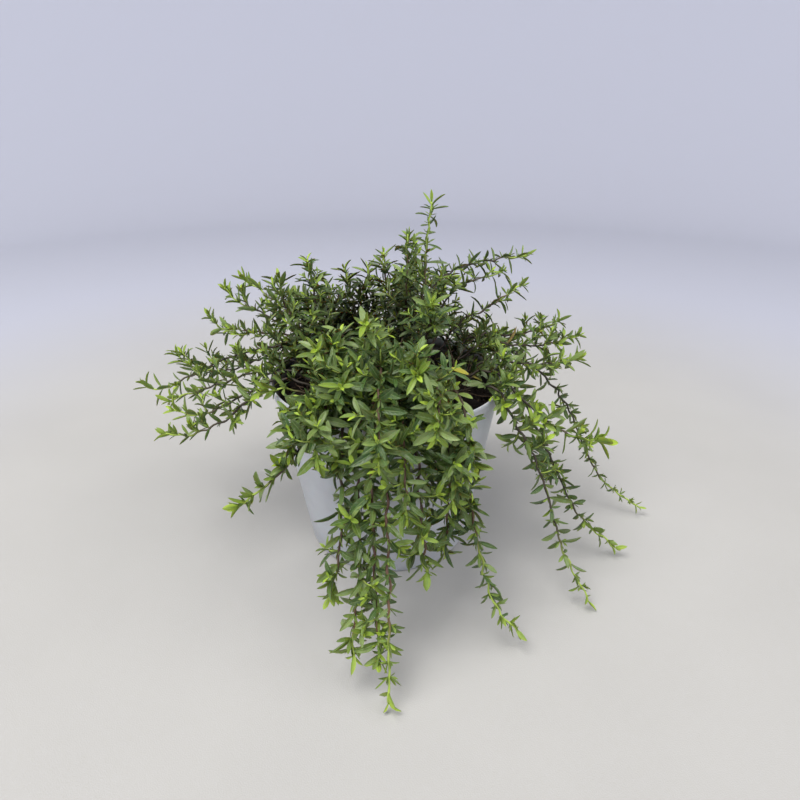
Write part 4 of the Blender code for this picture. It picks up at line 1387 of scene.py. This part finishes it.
BLUE_GREEN = (0.036, 0.098, 0.026)
PALE_GREEN = (0.29, 0.38, 0.16)
# Grey of the leaves' bloom, partly a real bloom and partly a painted sheen
BLOOM_AND_SHEEN = (0.19, 0.25, 0.16)
STAIN = (0.035, 0.065, 0.010)
RIB_GREEN = (0.26, 0.36, 0.12)
UNDER_GREEN = (0.16, 0.25, 0.08)
DEEP_SHADE = (0.16, 0.17, 0.11)
YELLOWED, BROWNED = (0.50, 0.46, 0.06), (0.17, 0.11, 0.065)
# Stem colours: the least and the most red
OLD_WOOD = ((0.050, 0.042, 0.030), (0.15, 0.075, 0.048))
BARK = ((0.090, 0.078, 0.045), (0.24, 0.12, 0.065))
GREEN_STEM = ((0.22, 0.26, 0.06), (0.40, 0.54, 0.09))
STEM_SHADE = (0.35, 0.32, 0.28)


def painted_shade_inside(start):
    """How much painted shade darkens a point: 1 in the plant's middle and 0 near its surface.

    It is a step down of the distance from the middle, each axis divided by the plant's reach on it.
    """
    place = start.node("ShaderNodeVectorMath", {"operation": "SUBTRACT"}, {0: start.place(), 1: HEART})
    share = start.node("ShaderNodeVectorMath", {"operation": "DIVIDE"}, {0: place, 1: HEART_REACH})
    return 1 - share.length().step(0.40, 0.95)


def leaf_finish(settings):
    """Leaf skin: dark to bright green by age, and darkened deep inside the plant by painted shade.

    It has a pale midrib, faint veins, mottling and a grey bloom that is partly a painted sheen.
    """
    made, start, feed = new_finish("leaf skin", IOR=1.42, Subsurface_Weight=0.08, Subsurface_Scale=0.001)
    age, tone, under, dry = (start.number(name) for name in ("age", "tone", "under", "dry"))
    blade = start.node("ShaderNodeUVMap", {"uv_map": "blade"})
    across, along = abs(blade.part(0) - 0.5) * 2, blade.part(1)
    rib = 1 - across.step(0.03, 0.16)
    veins = ((along * 7 - across * 1.3) * math.tau).sine()
    mottle = start.noise(700, 4)
    stain = start.noise(130, 2)
    middle = tuple((a + b) / 2 for a, b in zip(settings.full_green, settings.young_green))
    ripe = age + (tone - 0.5) * 0.16 + (mottle - 0.5) * 0.10
    colour = ripe.ramp(
        (0.0, settings.old_green), (0.22, settings.full_green), (0.66, middle), (1.0, settings.young_green)
    )
    grown = 1 - age.step(0.1, 0.5)
    colour = colour.blend(BLUE_GREEN, (1 - tone).step(0.4, 1.0) * grown * 0.7)
    colour = colour.blend(PALE_GREEN, tone.step(0.45, 1.0) * grown * 0.6)
    # Grey bloom in random patches on grown leaves, partly a painted sheen
    colour = colour.blend(BLOOM_AND_SHEEN, mottle.step(0.42, 0.72) * grown * 0.32)
    colour = colour.blend(STAIN, stain.step(0.5, 0.75) * 0.4)
    colour = colour.blend(RIB_GREEN, rib * 0.45)
    colour = colour.blend(UNDER_GREEN, under * 0.4)
    # Painted shade: leaves deep inside the plant are darkened as if shaded by those round them
    colour = colour.blend(DEEP_SHADE, painted_shade_inside(start), "MULTIPLY")
    faded = (dry + mottle * 0.2).ramp((0.6, YELLOWED), (0.85, BROWNED))
    colour = colour.blend(faded, dry.step(0.0, 0.3))
    feed("Base Color", colour)
    feed("Roughness", 0.27 + mottle * 0.14 + under * 0.25)
    feed("Normal", ((1 - rib) * 0.8 + veins * 0.10 + start.noise(2400, 2) * 0.25).bump(0.00025, 0.55))
    return made


def stem_finish():
    """Stem bark: grey-brown wood, then red-brown, then green towards the tip, with long streaks and painted
    shade deep inside the plant.
    """
    made, start, feed = new_finish("stem bark", Specular_IOR_Level=0.4)
    streaks = start.noise(900, 4)
    young = start.number("age") + (streaks - 0.5) * 0.12
    red = start.number("tone")
    wood, bark = (red.ramp((0.1, brown), (0.9, ruddy)) for brown, ruddy in (OLD_WOOD, BARK))
    fresh = young.ramp((0.4, GREEN_STEM[0]), (0.85, GREEN_STEM[1]))
    colour = wood.blend(bark, young.step(0.02, 0.2)).blend(fresh, young.step(0.25, 0.55))
    # Painted shade: stems deep inside the plant are darkened
    feed("Base Color", colour.blend(STEM_SHADE, painted_shade_inside(start), "MULTIPLY"))
    feed("Roughness", 0.45 + streaks * 0.3)
    feed("Normal", streaks.bump(0.0002, 0.5))
    return made


@lru_cache(maxsize=1)
def grown_routes():
    """Every stem's line by its name, bent clear of the others."""
    return bend_clear({name: stem_route(*passed) for name, passed in STEMS.items()})


class SAVORY_OT_sprigs(bpy.types.Operator):
    """Grows the leafy sprigs of one side of the plant"""

    bl_idname = "savory.sprigs"
    bl_label = "Leafy sprigs"

    side: EnumProperty(
        name="Side",
        description="Which sprigs to grow",
        items=[(name, name.capitalize(), f"The sprigs of the {name}") for name in HABITS],
    )

    def execute(self, context):
        settings = context.scene.savory_sprigs
        finishes = [bpy.data.materials.get("leaf skin") or leaf_finish(settings)]
        finishes.append(bpy.data.materials.get("stem bark") or stem_finish())
        for index, (name, route) in enumerate(grown_routes().items()):
            if name.split("_")[0] == self.side:
                grow_sprig(name, route, settings, finishes, index)
        return {"FINISHED"}


# The stage


SWEEP_START = 1.0
SWEEP_END = 1.7
SWEEP_HEIGHT = 1.6
SWEEP_SHELL = 0.05
FLOOR_SIDES = 128
SENSOR_WIDTH = 36.0
CAMERA_PLACE = (0.0064, -0.2867, 0.2184)
# Each lamp: name, place, size, power as a share of the key light's, and colour
LAMPS = (
    ("key", (-0.50, -0.42, 1.50), 1.0, 1.0, (1, 0.98, 0.95)),
    ("fill", (0.85, -0.35, 1.25), 1.2, 0.38, (1, 0.98, 0.96)),
)


def add_lamp(name, place, size, power, colour):
    """A square lamp that faces the plant's middle."""
    light = bpy.data.lights.new(name, "AREA")
    light.energy = power
    light.color = colour
    light.size = size
    lamp = bpy.data.objects.new(name, light)
    lamp.location = place
    lamp.rotation_euler = (Vector((0, 0, POT_HIGH.z)) - lamp.location).to_track_quat("-Z", "Y").to_euler()
    bpy.context.scene.collection.objects.link(lamp)


def floor_profile():
    """A flat floor that sweeps up all round, on a quarter ellipse, into a soft backdrop."""
    turn = np.linspace(math.pi / 2, 0, 24)
    reach = SWEEP_START + (SWEEP_END - SWEEP_START) * np.sin(turn)
    outside = SWEEP_END + SWEEP_SHELL
    shell = [(0, -SWEEP_SHELL), (outside, -SWEEP_SHELL), (outside, SWEEP_HEIGHT)]
    return np.vstack([shell, np.column_stack([reach, SWEEP_HEIGHT * (1 - np.cos(turn))]), (0, 0)])


def floor_finish(settings):
    """A matt pale paper, neutral under the plant and cooler far off, with a faint unevenness."""
    made, start, feed = new_finish("pale floor", Specular_IOR_Level=0.05)
    cloud = start.noise(9, 3)
    grain = start.noise(1800, 3)
    distance = start.place().length()
    far, farthest = distance.step(0.24, 0.62), distance.step(0.8, 2.0)
    pale = tuple(1.02 * c for c in settings.floor)
    dim = tuple(0.98 * c for c in settings.floor)
    shaded = tuple(0.80 * c for c in settings.backdrop)
    paper = cloud.ramp((0.35, dim), (0.65, pale)).blend(shaded, far)
    feed("Base Color", paper.blend(settings.backdrop, farthest))
    feed("Roughness", 0.85 + cloud * 0.1)
    feed("Normal", grain.bump(0.0003, 0.3))
    return made


class SAVORY_OT_stage(bpy.types.Operator):
    """Sets up the pale floor, the soft light and the camera"""

    bl_idname = "savory.stage"
    bl_label = "Studio"

    def execute(self, context):
        settings = context.scene.savory_stage
        skin = Skin()
        skin.add(*turned_surface(floor_profile(), FLOOR_SIDES))
        floor = bpy.data.objects.new("floor", skin.mesh("floor", [floor_finish(settings)], scale=1))
        context.scene.collection.objects.link(floor)
        world = bpy.data.worlds.new("soft surroundings")
        world.use_nodes = True
        sky = world.node_tree.nodes["Background"]
        sky.inputs["Color"].default_value = (*settings.sky, 1)
        sky.inputs["Strength"].default_value = settings.sky_light
        context.scene.world = world
        for name, place, size, share, colour in LAMPS:
            add_lamp(name, place, size, settings.key_light * share, colour)
        view = bpy.data.cameras.new("camera")
        view.sensor_width = SENSOR_WIDTH
        view.lens = settings.lens
        view.clip_start = 0.01
        camera = bpy.data.objects.new("camera", view)
        camera.location = CAMERA_PLACE
        camera.rotation_euler = (math.pi / 2 - settings.camera_tilt, 0, 0)
        context.scene.collection.objects.link(camera)
        context.scene.camera = camera
        context.scene.view_settings.view_transform = "Standard"
        return {"FINISHED"}


class SAVORY_PT_panel(bpy.types.Panel):
    """Lists the plant's pieces with their sizes and colours"""

    bl_label = "Potted savory"
    bl_idname = "SAVORY_PT_panel"
    bl_space_type = "VIEW_3D"
    bl_region_type = "UI"
    bl_category = "Savory"

    def draw(self, context):
        scene = context.scene
        for operator, group in (
            (SAVORY_OT_pot, scene.savory_pot),
            (SAVORY_OT_soil, scene.savory_soil),
            (SAVORY_OT_stage, scene.savory_stage),
            (None, scene.savory_sprigs),
        ):
            box = self.layout.box()
            for name in group.__annotations__:
                box.prop(group, name)
            if operator:
                box.operator(operator.bl_idname)
                continue
            for side in HABITS:
                box.operator(SAVORY_OT_sprigs.bl_idname, text=f"{side.capitalize()} sprigs").side = side


GROUPS = {
    "savory_pot": PotSettings,
    "savory_soil": SoilSettings,
    "savory_sprigs": SprigSettings,
    "savory_stage": StageSettings,
}
OPERATORS = (SAVORY_OT_pot, SAVORY_OT_soil, SAVORY_OT_sprigs, SAVORY_OT_stage)


def register():
    for group in GROUPS.values():
        bpy.utils.register_class(group)
    for name, group in GROUPS.items():
        setattr(bpy.types.Scene, name, PointerProperty(type=group))
    for made in (*OPERATORS, SAVORY_PT_panel):
        bpy.utils.register_class(made)


def unregister():
    for made in (SAVORY_PT_panel, *reversed(OPERATORS)):
        bpy.utils.unregister_class(made)
    for name, group in GROUPS.items():
        delattr(bpy.types.Scene, name)
        bpy.utils.unregister_class(group)


def main():
    """Makes every piece in order."""
    register()
    bpy.ops.savory.stage()
    bpy.ops.savory.pot()
    bpy.ops.savory.soil()
    for side in HABITS:
        bpy.ops.savory.sprigs(side=side)


if __name__ == "__main__":
    main()
